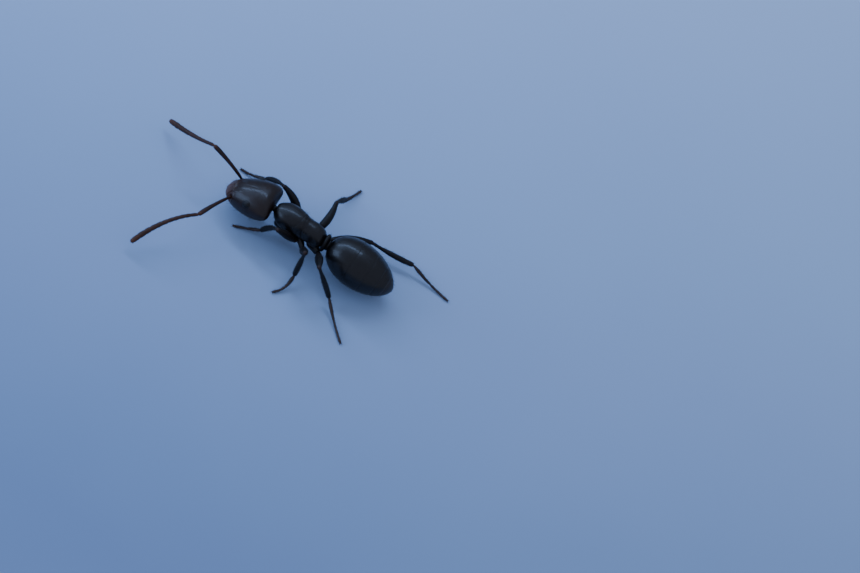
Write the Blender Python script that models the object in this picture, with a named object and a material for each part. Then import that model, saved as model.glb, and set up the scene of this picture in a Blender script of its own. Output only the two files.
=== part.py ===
"""A life-size worker ant, standing still, for a museum case.

The ant faces -X, its left side is at -Y, and its six feet rest on the floor at z = 0.
Sizes are in millimetres and are multiplied by MM where a mesh or a curve is made.
Limbs are round-ended rods, cut apart by thin planes that halve the angle at each joint.
"""

import math

import bmesh
import bpy
import numpy as np

MM = 0.001
GAP = 0.02  # the thin cut between neighbouring plates and limb segments

# Head: an egg, broad behind, tipped forward
HEAD_LENGTH, HEAD_WIDTH, HEAD_TOP, HEAD_BOTTOM = 2.19, 1.89, 0.66, 0.58
HEAD_CENTRE, HEAD_PITCH = (-2.255, 0.0, 1.07), 20.0
HEAD_DENT = 0.10  # how far the middle of the hind border is drawn in
EYE_AT, EYE_RISE, EYE_SIZE = 0.54, 32.0, (0.20, 0.12, 0.16)
MANDIBLE_RADIUS = 0.15

# Mesosoma: half width, top and bottom at stations along X, from neck to petiole
MESO_STATIONS = (-1.22, -1.04, -0.78, -0.42, -0.04, 0.22, 0.60, 0.96, 1.12)
MESO_HALF_WIDTH = (0.24, 0.43, 0.57, 0.57, 0.49, 0.45, 0.45, 0.38, 0.22)
MESO_TOP = (1.50, 1.62, 1.73, 1.78, 1.76, 1.70, 1.67, 1.52, 1.34)
MESO_BOTTOM = (1.12, 1.00, 0.88, 0.80, 0.79, 0.79, 0.80, 0.84, 0.95)
MESO_CUTS = ((-0.36, -28.0), (0.20, 12.0))  # where on X the plates part, and the lean of the cut

PETIOLE_X, PETIOLE_BASE, PETIOLE_TOP = 1.21, 0.93, 1.63
PETIOLE_HALF_WIDTH, PETIOLE_HALF_THICK, PETIOLE_STALK = 0.41, 0.15, 0.23

# Gaster: an egg, drooping a little towards its pointed end
GASTER_FRONT, GASTER_LENGTH, GASTER_DROOP = (1.35, 0.0, 1.15), 3.12, 5.5
GASTER_WIDTH, GASTER_TOP, GASTER_BOTTOM = 2.00, 0.90, 0.80
GASTER_CUTS = (0.36, 0.60, 0.78, 0.90)  # shares of its length where the tergites part

# Antennae: lengths, then heading outward from straight ahead, rise and bow for each side
SCAPE_LENGTH, SCAPE_RADIUS = 2.05, 0.21
FUNICULUS_LENGTH, FUNICULUS_RADIUS = 2.98, 0.21
SOCKET_AHEAD, SOCKET_OUT, SOCKET_UP = 0.38, 0.50, 0.18
ANTENNAE = {
    "left": dict(scape=(69.2, 10.0, 0.05), funiculus=(54.6, -17.4, 0.26)),
    "right": dict(scape=(-7.0, 35.3, 0.12), funiculus=(31.4, -36.3, -0.06)),
}

# Legs, front to hind: socket of the coxa, then lengths and radii of each segment
SOCKETS = ((-0.60, 0.20, 0.86), (0.19, 0.24, 0.82), (0.73, 0.22, 0.80))
COXA_LENGTH, COXA_DROOP = (0.72, 0.52, 0.54), (13.0, 15.0, 12.0)
FEMUR_LENGTH, TIBIA_LENGTH, TARSUS_LENGTH = (1.42, 1.58, 2.10), (1.32, 1.44, 1.88), (1.12, 1.16, 2.08)
ANKLE_HEIGHT = (0.46, 0.42, 0.40)
COXA_RADIUS, FEMUR_RADIUS, KNEE_RADIUS, TIBIA_RADIUS, TARSUS_RADIUS = 0.23, 0.25, 0.19, 0.22, 0.20
SOLE = 0.07  # what lies lower than this on a foot is pressed flat onto the floor
# Pose: swing of the coxa back from straight out, foot, heading of the tarsus back from
# straight out, and lean of the knee outward from the upright plane through hip and ankle
POSE = {
    ("front", "left"): dict(swing=78, foot=(-2.36, 0.94), heading=-79, lean=27),
    ("middle", "left"): dict(swing=52, foot=(0.45, 2.75), heading=-18, lean=2),
    ("hind", "left"): dict(swing=80, foot=(3.95, 3.12), heading=45, lean=30),
    ("front", "right"): dict(swing=30, foot=(-3.33, 1.69), heading=-90, lean=-14),
    ("middle", "right"): dict(swing=60, foot=(1.26, 4.11), heading=16, lean=17),
    ("hind", "right"): dict(swing=55, foot=(6.68, 1.69), heading=98, lean=86),
}
PAIRS = ("front", "middle", "hind")
SIDE = {"left": -1.0, "right": 1.0}

# Colours of each kind of plate: linear base colour and roughness
CHITIN = {
    "head": ((0.030, 0.012, 0.008), 0.28),
    "eye": ((0.006, 0.006, 0.007), 0.20),
    "mandible": ((0.060, 0.020, 0.010), 0.32),
    "antenna": ((0.120, 0.045, 0.020), 0.40),
    "mesosoma": ((0.012, 0.009, 0.009), 0.30),
    "petiole": ((0.014, 0.011, 0.011), 0.32),
    "gaster": ((0.008, 0.007, 0.008), 0.24),
    "leg": ((0.040, 0.018, 0.012), 0.35),
    "tarsus": ((0.180, 0.090, 0.045), 0.45),
}


def clear_scene():
    for obj in list(bpy.data.objects):
        bpy.data.objects.remove(obj, do_unlink=True)


def collection(name):
    made = bpy.data.collections.new(name)
    bpy.context.scene.collection.children.link(made)
    return made


def chitin(kind):
    """One Principled material for each kind of plate, made once."""
    name = kind + "_chitin"
    found = bpy.data.materials.get(name)
    if found:
        return found
    colour, roughness = CHITIN[kind]
    made = bpy.data.materials.new(name)
    made.use_nodes = True
    shader = made.node_tree.nodes["Principled BSDF"]
    shader.inputs["Base Color"].default_value = (*colour, 1.0)
    shader.inputs["Roughness"].default_value = roughness
    shader.inputs["Metallic"].default_value = 0.0
    return made


def link(name, mesh, home, kind=None):
    obj = bpy.data.objects.new(name, mesh)
    home.objects.link(obj)
    if kind:
        obj.data.materials.append(chitin(kind))
        obj.data.shade_smooth()
    else:
        obj.hide_render = True
        obj.display_type = "WIRE"
    return obj


# ---------------------------------------------------------------- shapes


def egg(u, front, back):
    """A closed outline's half width, 1 at its widest: u^front (1-u)^back. Both 0.5 make an ellipse."""
    widest = front / (front + back)
    return (u**front * (1 - u) ** back) / (widest**front * (1 - widest) ** back)


def smooth_through(x, stations, values):
    """A cubic that passes through each station, with the slope of its two neighbours there."""
    stations, values = np.array(stations), np.array(values)
    slope = np.gradient(values, stations)
    i = np.clip(np.searchsorted(stations, x) - 1, 0, len(stations) - 2)
    step = stations[i + 1] - stations[i]
    t = (x - stations[i]) / step
    return (
        (2 * t**3 - 3 * t**2 + 1) * values[i]
        + (t**3 - 2 * t**2 + t) * step * slope[i]
        + (3 * t**2 - 2 * t**3) * values[i + 1]
        + (t**3 - t**2) * step * slope[i + 1]
    )


def section(columns, power):
    """Unit superellipse, as (across, up), starting at +Y and turning towards +Z."""
    angle = np.linspace(0, 2 * np.pi, columns, endpoint=False)
    across, up = np.cos(angle), np.sin(angle)
    return (
        np.sign(across) * np.abs(across) ** (2 / power),
        np.sign(up) * np.abs(up) ** (2 / power),
    )


def loft(name, rings, poles):
    """A closed mesh through rings of points, with a fan to a pole at each end."""
    rows, columns = rings.shape[:2]
    points = [*rings.reshape(-1, 3), *poles]
    first, last = rows * columns, rows * columns + 1
    faces = []
    for i in range(columns):
        j = (i + 1) % columns
        faces.append((first, j, i))
        faces.append((last, (rows - 1) * columns + i, (rows - 1) * columns + j))
        for row in range(rows - 1):
            here, there = row * columns, (row + 1) * columns
            faces.append((here + i, here + j, there + j, there + i))
    mesh = bpy.data.meshes.new(name)
    mesh.from_pydata([tuple(MM * float(c) for c in p) for p in points], [], faces)
    face_out(mesh)
    return mesh


def face_out(mesh):
    shape = bmesh.new()
    shape.from_mesh(mesh)
    bmesh.ops.recalc_face_normals(shape, faces=shape.faces)
    shape.to_mesh(mesh)
    shape.free()


def egg_body(name, length, half_width, top, bottom, place, power=2.2, rows=15, columns=20):
    """A body that starts and ends at a point: half width and heights are functions of u along it."""
    u = 0.5 - 0.5 * np.cos(np.linspace(0, np.pi, rows + 2)[1:-1])
    across, up = section(columns, power)
    y = half_width(u)[:, None] * across
    z = np.where(up > 0, top(u)[:, None], bottom(u)[:, None]) * up
    x = np.broadcast_to((u * length)[:, None], y.shape)
    rings = place(np.stack([x, y, z], axis=-1))
    poles = place(np.array([[0.0, 0, 0], [length, 0, 0]]))
    return loft(name, rings, poles)


def turn_y(points, degrees):
    """Points turned about the Y axis: a positive angle lowers what lies towards -X."""
    c, s = math.cos(math.radians(degrees)), math.sin(math.radians(degrees))
    x, y, z = points[..., 0], points[..., 1], points[..., 2]
    return np.stack([c * x - s * z, y, s * x + c * z], axis=-1)


def direction(outward, rise, ahead=False):
    """Unit vector on the right side: from straight out (or straight ahead), turned back (or out), then up."""
    a, r = math.radians(outward), math.radians(rise)
    x, y = (-math.cos(a), math.sin(a)) if ahead else (math.sin(a), math.cos(a))
    return np.array([x * math.cos(r), y * math.cos(r), math.sin(r)])


def bowed(start, end, bow, count):
    """Points on a parabola from start to end, its middle raised by bow, with their shares of the way."""
    t = np.linspace(0, 1, count)
    line = start + (end - start) * t[:, None]
    line[:, 2] += 4 * bow * t * (1 - t)
    return line, t


def rod(name, path, radii, home, kind, cuts=(), sides=2):
    """A round-ended rod along path, made from a bevelled curve and cut by planes (point, normal kept)."""
    data = bpy.data.curves.new(name, "CURVE")
    data.dimensions = "3D"
    data.bevel_depth = MM
    data.bevel_resolution = sides
    data.use_fill_caps = True
    points, widths = rounded_ends(np.array(path), np.array(radii))
    spline = data.splines.new("POLY")
    spline.points.add(len(points) - 1)
    for knot, place, width in zip(spline.points, points, widths):
        knot.co = (*[MM * float(c) for c in place], 1.0)
        knot.radius = float(width)
    curve = bpy.data.objects.new(name + "_curve", data)
    home.objects.link(curve)
    graph = bpy.context.evaluated_depsgraph_get()
    mesh = bpy.data.meshes.new_from_object(curve.evaluated_get(graph))
    bpy.data.objects.remove(curve, do_unlink=True)
    shape = bmesh.new()
    shape.from_mesh(mesh)
    bmesh.ops.remove_doubles(shape, verts=shape.verts, dist=1e-7)
    for point, normal in cuts:
        part_off(shape, point, normal)
    bmesh.ops.recalc_face_normals(shape, faces=shape.faces)
    shape.to_mesh(mesh)
    shape.free()
    return link(name, mesh, home, kind)


def rounded_ends(path, radii):
    """The path with a dome of two more rings beyond each end."""
    head, tail = path[0] - path[1], path[-1] - path[-2]
    head, tail = head / np.linalg.norm(head), tail / np.linalg.norm(tail)
    domes = [(math.sin(math.radians(a)), math.cos(math.radians(a))) for a in (75.0, 45.0)]
    before = [(path[0] + head * radii[0] * out, radii[0] * thin) for out, thin in domes]
    after = [(path[-1] + tail * radii[-1] * out, radii[-1] * thin) for out, thin in reversed(domes)]
    points = [p for p, _ in before] + list(path) + [p for p, _ in after]
    widths = [w for _, w in before] + list(radii) + [w for _, w in after]
    return points, widths


def part_off(shape, point, normal):
    """Cuts the mesh by a plane, keeps the side that normal points to, and closes the cut."""
    cut = bmesh.ops.bisect_plane(
        shape,
        geom=shape.verts[:] + shape.edges[:] + shape.faces[:],
        dist=1e-9,
        plane_co=[MM * float(c) for c in point],
        plane_no=[float(c) for c in normal],
        clear_inner=True,
    )
    edges = [e for e in cut["geom_cut"] if isinstance(e, bmesh.types.BMEdge)]
    bmesh.ops.contextual_create(shape, geom=edges)


def joint_plane(before, joint, after):
    """The plane at a joint that halves its angle, as (point, normal towards the farther segment)."""
    inward = (joint - before) / np.linalg.norm(joint - before)
    outward = (after - joint) / np.linalg.norm(after - joint)
    normal = inward + outward
    return joint, normal / np.linalg.norm(normal)


def near_side(plane):
    point, normal = plane
    return point - normal * GAP / 2, -normal


def far_side(plane):
    point, normal = plane
    return point + normal * GAP / 2, normal


def carve(obj, cutter):
    """Cuts obj where it would run into the cutter."""
    cut = obj.modifiers.new("clear_of_" + cutter.name, "BOOLEAN")
    cut.operation = "DIFFERENCE"
    cut.solver = "EXACT"
    cut.object = cutter


def join(obj, other):
    merge = obj.modifiers.new("joined_with_" + other.name, "BOOLEAN")
    merge.operation = "UNION"
    merge.solver = "EXACT"
    merge.object = other


# ---------------------------------------------------------------- head


def place_head(points):
    """From the head's own frame (x back from its front end, z up) to where it is carried."""
    moved = points - np.array([HEAD_LENGTH / 2, 0, 0])
    return turn_y(moved, HEAD_PITCH) + np.array(HEAD_CENTRE)


def head_half_width(u):
    return HEAD_WIDTH / 2 * egg(u, 0.435, 0.15)


def head_top(u):
    return HEAD_TOP * egg(u, 0.51, 0.32)


def head_bottom(u):
    return HEAD_BOTTOM * egg(u, 0.45, 0.41)


def head_mesh(name, grow=0.0):
    """The capsule, or the same grown all round by grow."""

    def place(points):
        u = np.clip(points[..., 0] / HEAD_LENGTH, 0, 1)
        middle = 1 - np.clip(np.abs(points[..., 1]) / (HEAD_WIDTH / 2), 0, 1) ** 2
        points = points.copy()
        points[..., 0] -= HEAD_DENT * middle * u**6
        points[..., 0] += grow * (2 * u - 1)
        return place_head(points)

    return egg_body(
        name,
        HEAD_LENGTH,
        lambda u: head_half_width(u) + grow,
        lambda u: head_top(u) + grow,
        lambda u: head_bottom(u) + grow,
        place,
        power=2.15,
        rows=17,
        columns=24,
    )


def make_head(ant, cutters):
    head = link("head", head_mesh("head"), ant, "head")
    clearance = link("head_clearance", head_mesh("head_clearance", GAP), cutters)
    for side, sign in SIDE.items():
        make_eye(side, sign, ant, clearance)
        make_mandible(side, sign, ant, clearance)
        make_antenna(side, sign, ant, clearance)
    return head, clearance


def make_eye(side, sign, ant, clearance):
    """An oval lens sunk in the side of the capsule, two thirds of it showing."""
    u = np.array([EYE_AT])
    rise = math.radians(EYE_RISE)
    out = head_half_width(u)[0] * math.cos(rise)
    up = head_top(u)[0] * math.sin(rise)
    centre = place_head(np.array([EYE_AT * HEAD_LENGTH, sign * out, up]))
    mesh = bpy.data.meshes.new("eye_" + side)
    shape = bmesh.new()
    bmesh.ops.create_uvsphere(shape, u_segments=16, v_segments=10, radius=MM)
    shape.to_mesh(mesh)
    shape.free()
    points = np.array([v.co for v in mesh.vertices]) * np.array(EYE_SIZE)
    tilt = sign * (math.pi / 2 - rise)
    c, s = math.cos(tilt), math.sin(tilt)
    flat = points[:, [0, 2, 1]]
    turned = np.stack([flat[:, 0], c * flat[:, 1] + s * flat[:, 2], c * flat[:, 2] - s * flat[:, 1]], axis=1)
    placed = turn_y(turned, HEAD_PITCH) + MM * centre
    for vertex, place in zip(mesh.vertices, placed):
        vertex.co = place
    face_out(mesh)
    carve(link("eye_" + side, mesh, ant, "eye"), clearance)


def make_mandible(side, sign, ant, clearance):
    """A short closed jaw: from the front corner of the head it curves in to the middle."""
    base = np.array([0.44, sign * 0.36, -0.24])
    bend = np.array([0.26, sign * 0.30, -0.34])
    tip = np.array([0.20, sign * 0.09, -0.36])
    path = place_head(np.array([base, (base + bend) / 2, bend, (bend + tip) / 2 - [0.03, 0, 0], tip]))
    radii = MANDIBLE_RADIUS * np.array([1.0, 1.0, 0.92, 0.8, 0.55])
    carve(rod("mandible_" + side, path, radii, ant, "mandible"), clearance)


def make_antenna(side, sign, ant, clearance):
    """Scape, then a funiculus in two lengths, parted at the elbow and at its middle."""
    pose = ANTENNAE[side]
    base = np.array([SOCKET_AHEAD, sign * SOCKET_OUT, SOCKET_UP])
    socket = place_head(base)
    flip = np.array([1.0, sign, 1.0])
    heading, rise, scape_bow = pose["scape"]
    elbow = socket + flip * direction(heading, rise, ahead=True) * SCAPE_LENGTH
    heading, rise, bow = pose["funiculus"]
    tip = elbow + flip * direction(heading, rise, ahead=True) * FUNICULUS_LENGTH
    scape, t = bowed(socket, elbow, scape_bow, 8)
    lash, s = bowed(elbow, tip, bow, 15)
    bend = joint_plane(scape[-2], elbow, lash[1])
    middle = joint_plane(lash[6], lash[7], lash[8])
    scape_radii = SCAPE_RADIUS * (0.92 + 0.08 * t)
    lash_radii = FUNICULUS_RADIUS * (0.92 + 0.08 * np.sin(np.pi * s))
    carve(rod("scape_" + side, scape, scape_radii, ant, "antenna", [near_side(bend)]), clearance)
    basal_cuts = [far_side(bend), near_side(middle)]
    rod("funiculus_base_" + side, lash[:9], lash_radii[:9], ant, "antenna", basal_cuts)
    rod("funiculus_tip_" + side, lash[6:], lash_radii[6:], ant, "antenna", [far_side(middle)])


# ---------------------------------------------------------------- mesosoma, petiole, gaster


def mesosoma_mesh(name, grow=0.0):
    x = np.linspace(MESO_STATIONS[0], MESO_STATIONS[-1], 19)
    half = smooth_through(x, MESO_STATIONS, MESO_HALF_WIDTH) + grow
    top = smooth_through(x, MESO_STATIONS, MESO_TOP) + grow
    bottom = smooth_through(x, MESO_STATIONS, MESO_BOTTOM) - grow
    across, up = section(20, 2.2)
    middle, tall = (top + bottom) / 2, (top - bottom) / 2
    x = x + grow * np.linspace(-1, 1, len(x))
    y = half[:, None] * across
    z = middle[:, None] + tall[:, None] * up
    rings = np.stack([np.broadcast_to(x[:, None], y.shape), y, z], axis=-1)
    poles = np.array([[x[0], 0, middle[0]], [x[-1], 0, middle[-1]]])
    return loft(name, rings, poles)


def make_mesosoma(ant, cutters, head_clearance):
    """Pronotum, mesonotum and propodeum: one lofted trunk, parted by two leaning cuts."""
    names = ("pronotum", "mesonotum", "propodeum")
    planes = []
    for x, lean in MESO_CUTS:
        normal = turn_y(np.array([1.0, 0, 0]), lean)
        planes.append((np.array([x, 0, 1.22]), normal))
    for i, name in enumerate(names):
        mesh = mesosoma_mesh(name)
        shape = bmesh.new()
        shape.from_mesh(mesh)
        if i > 0:
            part_off(shape, *far_side(planes[i - 1]))
        if i < len(planes):
            part_off(shape, *near_side(planes[i]))
        bmesh.ops.recalc_face_normals(shape, faces=shape.faces)
        shape.to_mesh(mesh)
        shape.free()
        plate = link(name, mesh, ant, "mesosoma")
        if name == "pronotum":
            carve(plate, head_clearance)
    return link("mesosoma_clearance", mesosoma_mesh("mesosoma_clearance", GAP), cutters)


def make_petiole(ant, cutters, mesosoma_clearance, gaster_clearance):
    """An upright scale on a short stalk that joins trunk and gaster."""
    length = PETIOLE_TOP - PETIOLE_BASE

    def upright(points):
        """The egg's own length stands up: x becomes height, z becomes thickness along the body."""
        return np.stack(
            [PETIOLE_X + points[..., 2], points[..., 1], PETIOLE_BASE + points[..., 0]], axis=-1
        )

    scale = egg_body(
        "petiole",
        length,
        lambda u: PETIOLE_HALF_WIDTH * egg(u, 0.35, 0.45),
        lambda u: PETIOLE_HALF_THICK * egg(u, 0.45, 0.55),
        lambda u: PETIOLE_HALF_THICK * egg(u, 0.45, 0.55),
        upright,
        rows=9,
        columns=16,
    )
    petiole = link("petiole", scale, ant, "petiole")
    low, high = MESO_STATIONS[-1] - 0.05, GASTER_FRONT[0] + 0.1
    path = [np.array([x, 0.0, 1.06]) for x in np.linspace(low, high, 4)]
    stalk = rod("petiole_stalk", path, [PETIOLE_STALK] * 4, cutters, None)
    join(petiole, stalk)
    carve(petiole, mesosoma_clearance)
    carve(petiole, gaster_clearance)


def place_gaster(points):
    return turn_y(points, -GASTER_DROOP) + np.array(GASTER_FRONT)


def gaster_mesh(name, grow=0.0):
    def place(points):
        u = points[..., 0] / GASTER_LENGTH
        points = points.copy()
        points[..., 0] += grow * (2 * u - 1)
        return place_gaster(points)

    return egg_body(
        name,
        GASTER_LENGTH,
        lambda u: GASTER_WIDTH / 2 * egg(u, 0.45, 0.58) + grow,
        lambda u: GASTER_TOP * egg(u, 0.45, 0.62) + grow,
        lambda u: GASTER_BOTTOM * egg(u, 0.48, 0.56) + grow,
        place,
        rows=17,
        columns=24,
    )


def make_gaster(ant):
    """Four overlapping tergites and the pointed tip, parted by thin cuts across the axis."""
    normal = turn_y(np.array([1.0, 0, 0]), -GASTER_DROOP)
    planes = [(place_gaster(np.array([share * GASTER_LENGTH, 0, 0])), normal) for share in GASTER_CUTS]
    names = ["gaster_segment_1", "gaster_segment_2", "gaster_segment_3", "gaster_segment_4", "gaster_tip"]
    for i, name in enumerate(names):
        mesh = gaster_mesh(name)
        shape = bmesh.new()
        shape.from_mesh(mesh)
        if i > 0:
            part_off(shape, *far_side(planes[i - 1]))
        if i < len(planes):
            part_off(shape, *near_side(planes[i]))
        bmesh.ops.recalc_face_normals(shape, faces=shape.faces)
        shape.to_mesh(mesh)
        shape.free()
        link(name, mesh, ant, "gaster")


# ---------------------------------------------------------------- legs


def leg_joints(pair, side):
    """Socket, hip, knee, ankle and foot of one leg; the knee follows from the lengths and the lean."""
    i, sign, pose = PAIRS.index(pair), SIDE[side], POSE[(pair, side)]
    socket = np.array(SOCKETS[i])
    hip = socket + COXA_LENGTH[i] * direction(pose["swing"], -COXA_DROOP[i])
    foot = np.array([*pose["foot"], TARSUS_RADIUS])
    fall = ANKLE_HEIGHT[i] - TARSUS_RADIUS
    run = math.sqrt(TARSUS_LENGTH[i] ** 2 - fall**2)
    ankle = foot - run * direction(pose["heading"], 0.0)
    ankle[2] = ANKLE_HEIGHT[i]
    reach = ankle - hip
    far = np.linalg.norm(reach)
    along = (FEMUR_LENGTH[i] ** 2 - TIBIA_LENGTH[i] ** 2 + far**2) / (2 * far)
    off = math.sqrt(max(FEMUR_LENGTH[i] ** 2 - along**2, 0.0))
    reach = reach / far
    up = np.array([0, 0, 1.0]) - reach * reach[2]
    up /= np.linalg.norm(up)
    out = np.cross(reach, up)
    out *= math.copysign(1.0, out[1])
    lean = math.radians(pose["lean"])
    knee = hip + reach * along + off * (up * math.cos(lean) + out * math.sin(lean))
    return [joint * np.array([1.0, sign, 1.0]) for joint in (socket, hip, knee, ankle, foot)]


def limb(start, end, radii):
    """Evenly spaced points with the radii given along them."""
    steps = np.linspace(0, 1, len(radii))[:, None]
    return start + (end - start) * steps, np.array(radii)


def make_leg(pair, side, ant, mesosoma_clearance):
    socket, hip, knee, ankle, foot = leg_joints(pair, side)
    at_hip = joint_plane(socket, hip, knee)
    at_knee = joint_plane(hip, knee, ankle)
    at_ankle = joint_plane(knee, ankle, foot)
    tag = f"_{pair}_{side}"
    hip_radius = COXA_RADIUS * 0.85
    path, radii = limb(socket, hip, [COXA_RADIUS, COXA_RADIUS, COXA_RADIUS, hip_radius])
    carve(rod("coxa" + tag, path, radii, ant, "leg", [near_side(at_hip)]), mesosoma_clearance)
    widths = [hip_radius, FEMUR_RADIUS, FEMUR_RADIUS, FEMUR_RADIUS * 0.9, KNEE_RADIUS]
    path, radii = limb(hip, knee, widths)
    rod("femur" + tag, path, radii, ant, "leg", [far_side(at_hip), near_side(at_knee)])
    widths = [KNEE_RADIUS, TIBIA_RADIUS, TIBIA_RADIUS, TARSUS_RADIUS]
    path, radii = limb(knee, ankle, widths)
    rod("tibia" + tag, path, radii, ant, "leg", [far_side(at_knee), near_side(at_ankle)])
    path, radii = limb(ankle, foot, [TARSUS_RADIUS] * 6)
    path[:, 2] = foot[2] + (ankle[2] - foot[2]) * np.linspace(1, 0, 6) ** 1.6
    tarsus = rod("tarsus" + tag, path, radii, ant, "tarsus", [far_side(at_ankle)])
    press_flat(tarsus)


def press_flat(obj):
    """Presses what lies lowest onto the floor, so the foot stands on a small flat."""
    for vertex in obj.data.vertices:
        if vertex.co.z < MM * SOLE:
            vertex.co.z = 0.0


# ---------------------------------------------------------------- the whole ant


def centre_on_floor(ant):
    """Hangs all the parts from one empty that puts the middle of their box over the origin."""
    bpy.context.view_layer.update()
    corners = [obj.matrix_world @ v.co for obj in ant.objects for v in obj.data.vertices]
    across = [min(c.x for c in corners) + max(c.x for c in corners)]
    across.append(min(c.y for c in corners) + max(c.y for c in corners))
    stand = bpy.data.objects.new("ant_centre", None)
    ant.objects.link(stand)
    stand.location = (-across[0] / 2, -across[1] / 2, 0.0)
    for obj in list(ant.objects):
        if obj.type == "MESH":
            obj.parent = stand
    return stand


def main():
    clear_scene()
    ant, cutters = collection("ant"), collection("cutters")
    _, head_clearance = make_head(ant, cutters)
    mesosoma_clearance = make_mesosoma(ant, cutters, head_clearance)
    make_gaster(ant)
    gaster_clearance = link("gaster_clearance", gaster_mesh("gaster_clearance", GAP), cutters)
    make_petiole(ant, cutters, mesosoma_clearance, gaster_clearance)
    for pair in PAIRS:
        for side in SIDE:
            make_leg(pair, side, ant, mesosoma_clearance)
    stand = centre_on_floor(ant)
    for cutter in cutters.objects:
        cutter.parent = stand


main()
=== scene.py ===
# %% [markdown]
# # A worker ant for a museum case
# An ant's skeleton is its skin: a chain of hard plates of chitin, joined by thin soft
# membranes that hardly show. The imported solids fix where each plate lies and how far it
# reaches. Every plate is now made again as a fine surface that fills its solid's own box,
# and every limb as a slender tube between the joints of its solids. The solids' limbs are
# thicker than life, so a living limb has room to bow or to sit off the middle. Where it
# does, a small vector in millimetres beside the limb's other sizes says by how much.

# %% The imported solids
import math

import bpy
import numpy as np
from mathutils import Matrix


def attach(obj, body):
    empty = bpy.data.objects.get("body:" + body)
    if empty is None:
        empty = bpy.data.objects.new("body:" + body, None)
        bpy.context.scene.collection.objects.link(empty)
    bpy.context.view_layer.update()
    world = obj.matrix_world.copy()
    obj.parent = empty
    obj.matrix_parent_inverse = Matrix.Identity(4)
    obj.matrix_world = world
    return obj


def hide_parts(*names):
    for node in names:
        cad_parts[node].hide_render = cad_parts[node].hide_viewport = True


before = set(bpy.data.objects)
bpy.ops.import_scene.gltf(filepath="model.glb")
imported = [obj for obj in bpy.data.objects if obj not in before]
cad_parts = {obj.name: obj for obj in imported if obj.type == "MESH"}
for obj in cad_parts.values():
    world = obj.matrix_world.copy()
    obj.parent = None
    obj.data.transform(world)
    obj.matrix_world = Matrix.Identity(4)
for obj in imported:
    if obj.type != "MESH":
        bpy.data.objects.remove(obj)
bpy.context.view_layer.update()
MM = 0.001
BODY = "root"
SIDES = {"left": -1.0, "right": 1.0}
PAIRS = ("front", "middle", "hind")
print("solids:", len(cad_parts))

# %% [markdown]
# ## Reading places from the solids
# Where two solids part, a thin cut runs between them, and its middle is the joint. A limb's
# middle line could be typed in as numbers, but measured from the solid it stays right when
# the solid changes. So the helpers below give corners, joints and far ends in millimetres.

# %% Places
CUT_WIDTH = 0.05  # corners of two solids closer than this face each other across a cut
END_CAP = 0.12  # corners this near to the farthest one belong to a limb's round end
CHORD_MIDDLE = (0.15, 0.85)  # shares of the chord between which a bow is measured


def node_points(*names):
    """All corners of the named solids, each once, in millimetres."""
    found = []
    for name in names:
        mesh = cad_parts[name].data
        flat = np.empty(3 * len(mesh.vertices), np.float32)
        mesh.vertices.foreach_get("co", flat)
        found.append(flat.reshape(-1, 3) / MM)
    return np.unique(np.round(np.concatenate(found).astype(float), 4), axis=0)


def meeting(first, second):
    """The middle of the cut between two solids: the mean of the corners that face each other."""
    a, b = node_points(first), node_points(second)
    apart = np.linalg.norm(a[:, None] - b[None], axis=2)
    rim_a, rim_b = a[apart.min(1) < CUT_WIDTH], b[apart.min(0) < CUT_WIDTH]
    return (rim_a.mean(0) + rim_b.mean(0)) / 2


def far_end(start, names, short=0.0):
    """The end of a limb as seen from start: as far as its corners reach, less short."""
    points = node_points(*names)
    away = points - start
    reach = np.linalg.norm(away, axis=1)
    last = points[reach > reach.max() - END_CAP].mean(0)
    heading = (last - start) / np.linalg.norm(last - start)
    return start + heading * ((away @ heading).max() - short)


def bow_between(start, end, names):
    """How the middle of a bent solid stands off its chord, as a vector: the mean of the
    corners' offsets from the chord, over the mean of 4 t (1 - t)."""
    chord = end - start
    away = node_points(*names) - start
    t = away @ chord / (chord @ chord)
    middle = (t > CHORD_MIDDLE[0]) & (t < CHORD_MIDDLE[1])
    away, t = away[middle], t[middle]
    offset = (away - t[:, None] * chord).mean(0)
    return offset / (4 * t * (1 - t)).mean()


knee = meeting("femur_hind_left", "tibia_hind_left")
print("left hind knee at", knee.round(2), "mm")

# %% [markdown]
# ## Surfaces from two parameters
# Plates and limbs are all tubes: rows of points along the body, columns round it. A plate's
# ring is a superellipse, which is an ellipse with fuller shoulders, and a limb's ring is a
# circle square to its path. Sculpting could give the same shapes, but a formula keeps both
# sides alike and costs nothing to refine.

# %% Profiles and rings
POLE_GAP = 0.02  # radians left open round a pole, where a fan of triangles closes the plate


def eased(count, gap=0.0):
    """Shares that crowd towards both ends: (1 - cos a) / 2, for a from gap to pi - gap."""
    return 0.5 - 0.5 * np.cos(np.linspace(gap, np.pi - gap, count))


def smooth_through(x, stations, values):
    """A cubic through each station whose slope there is the mean slope of its neighbours."""
    stations, values = np.array(stations, float), np.array(values, float)
    slope = np.gradient(values, stations)
    i = np.clip(np.searchsorted(stations, x) - 1, 0, len(stations) - 2)
    step = stations[i + 1] - stations[i]
    t = np.clip((x - stations[i]) / step, 0, 1)
    return (
        (2 * t**3 - 3 * t**2 + 1) * values[i]
        + (t**3 - 2 * t**2 + t) * step * slope[i]
        + (3 * t**2 - 2 * t**3) * values[i + 1]
        + (t**3 - t**2) * step * slope[i + 1]
    )


def egg(u, front, back):
    """Half width of a closed outline, 1 at its widest: u^front (1 - u)^back."""
    widest = front / (front + back)
    return (u**front * (1 - u) ** back) / (widest**front * (1 - widest) ** back)


def superellipse(columns, power):
    """Across and up round a ring: cosine and sine of the angle, each to the power 2 / power."""
    angle = np.linspace(0, 2 * np.pi, columns, endpoint=False)
    across, up = np.cos(angle), np.sin(angle)
    return (
        np.sign(across) * np.abs(across) ** (2 / power),
        np.sign(up) * np.abs(up) ** (2 / power),
    )


def step_up(x):
    """0 below 0, 1 above 1, and a smooth rise between: 3 x^2 - 2 x^3."""
    x = np.clip(x, 0, 1)
    return x * x * (3 - 2 * x)


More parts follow.
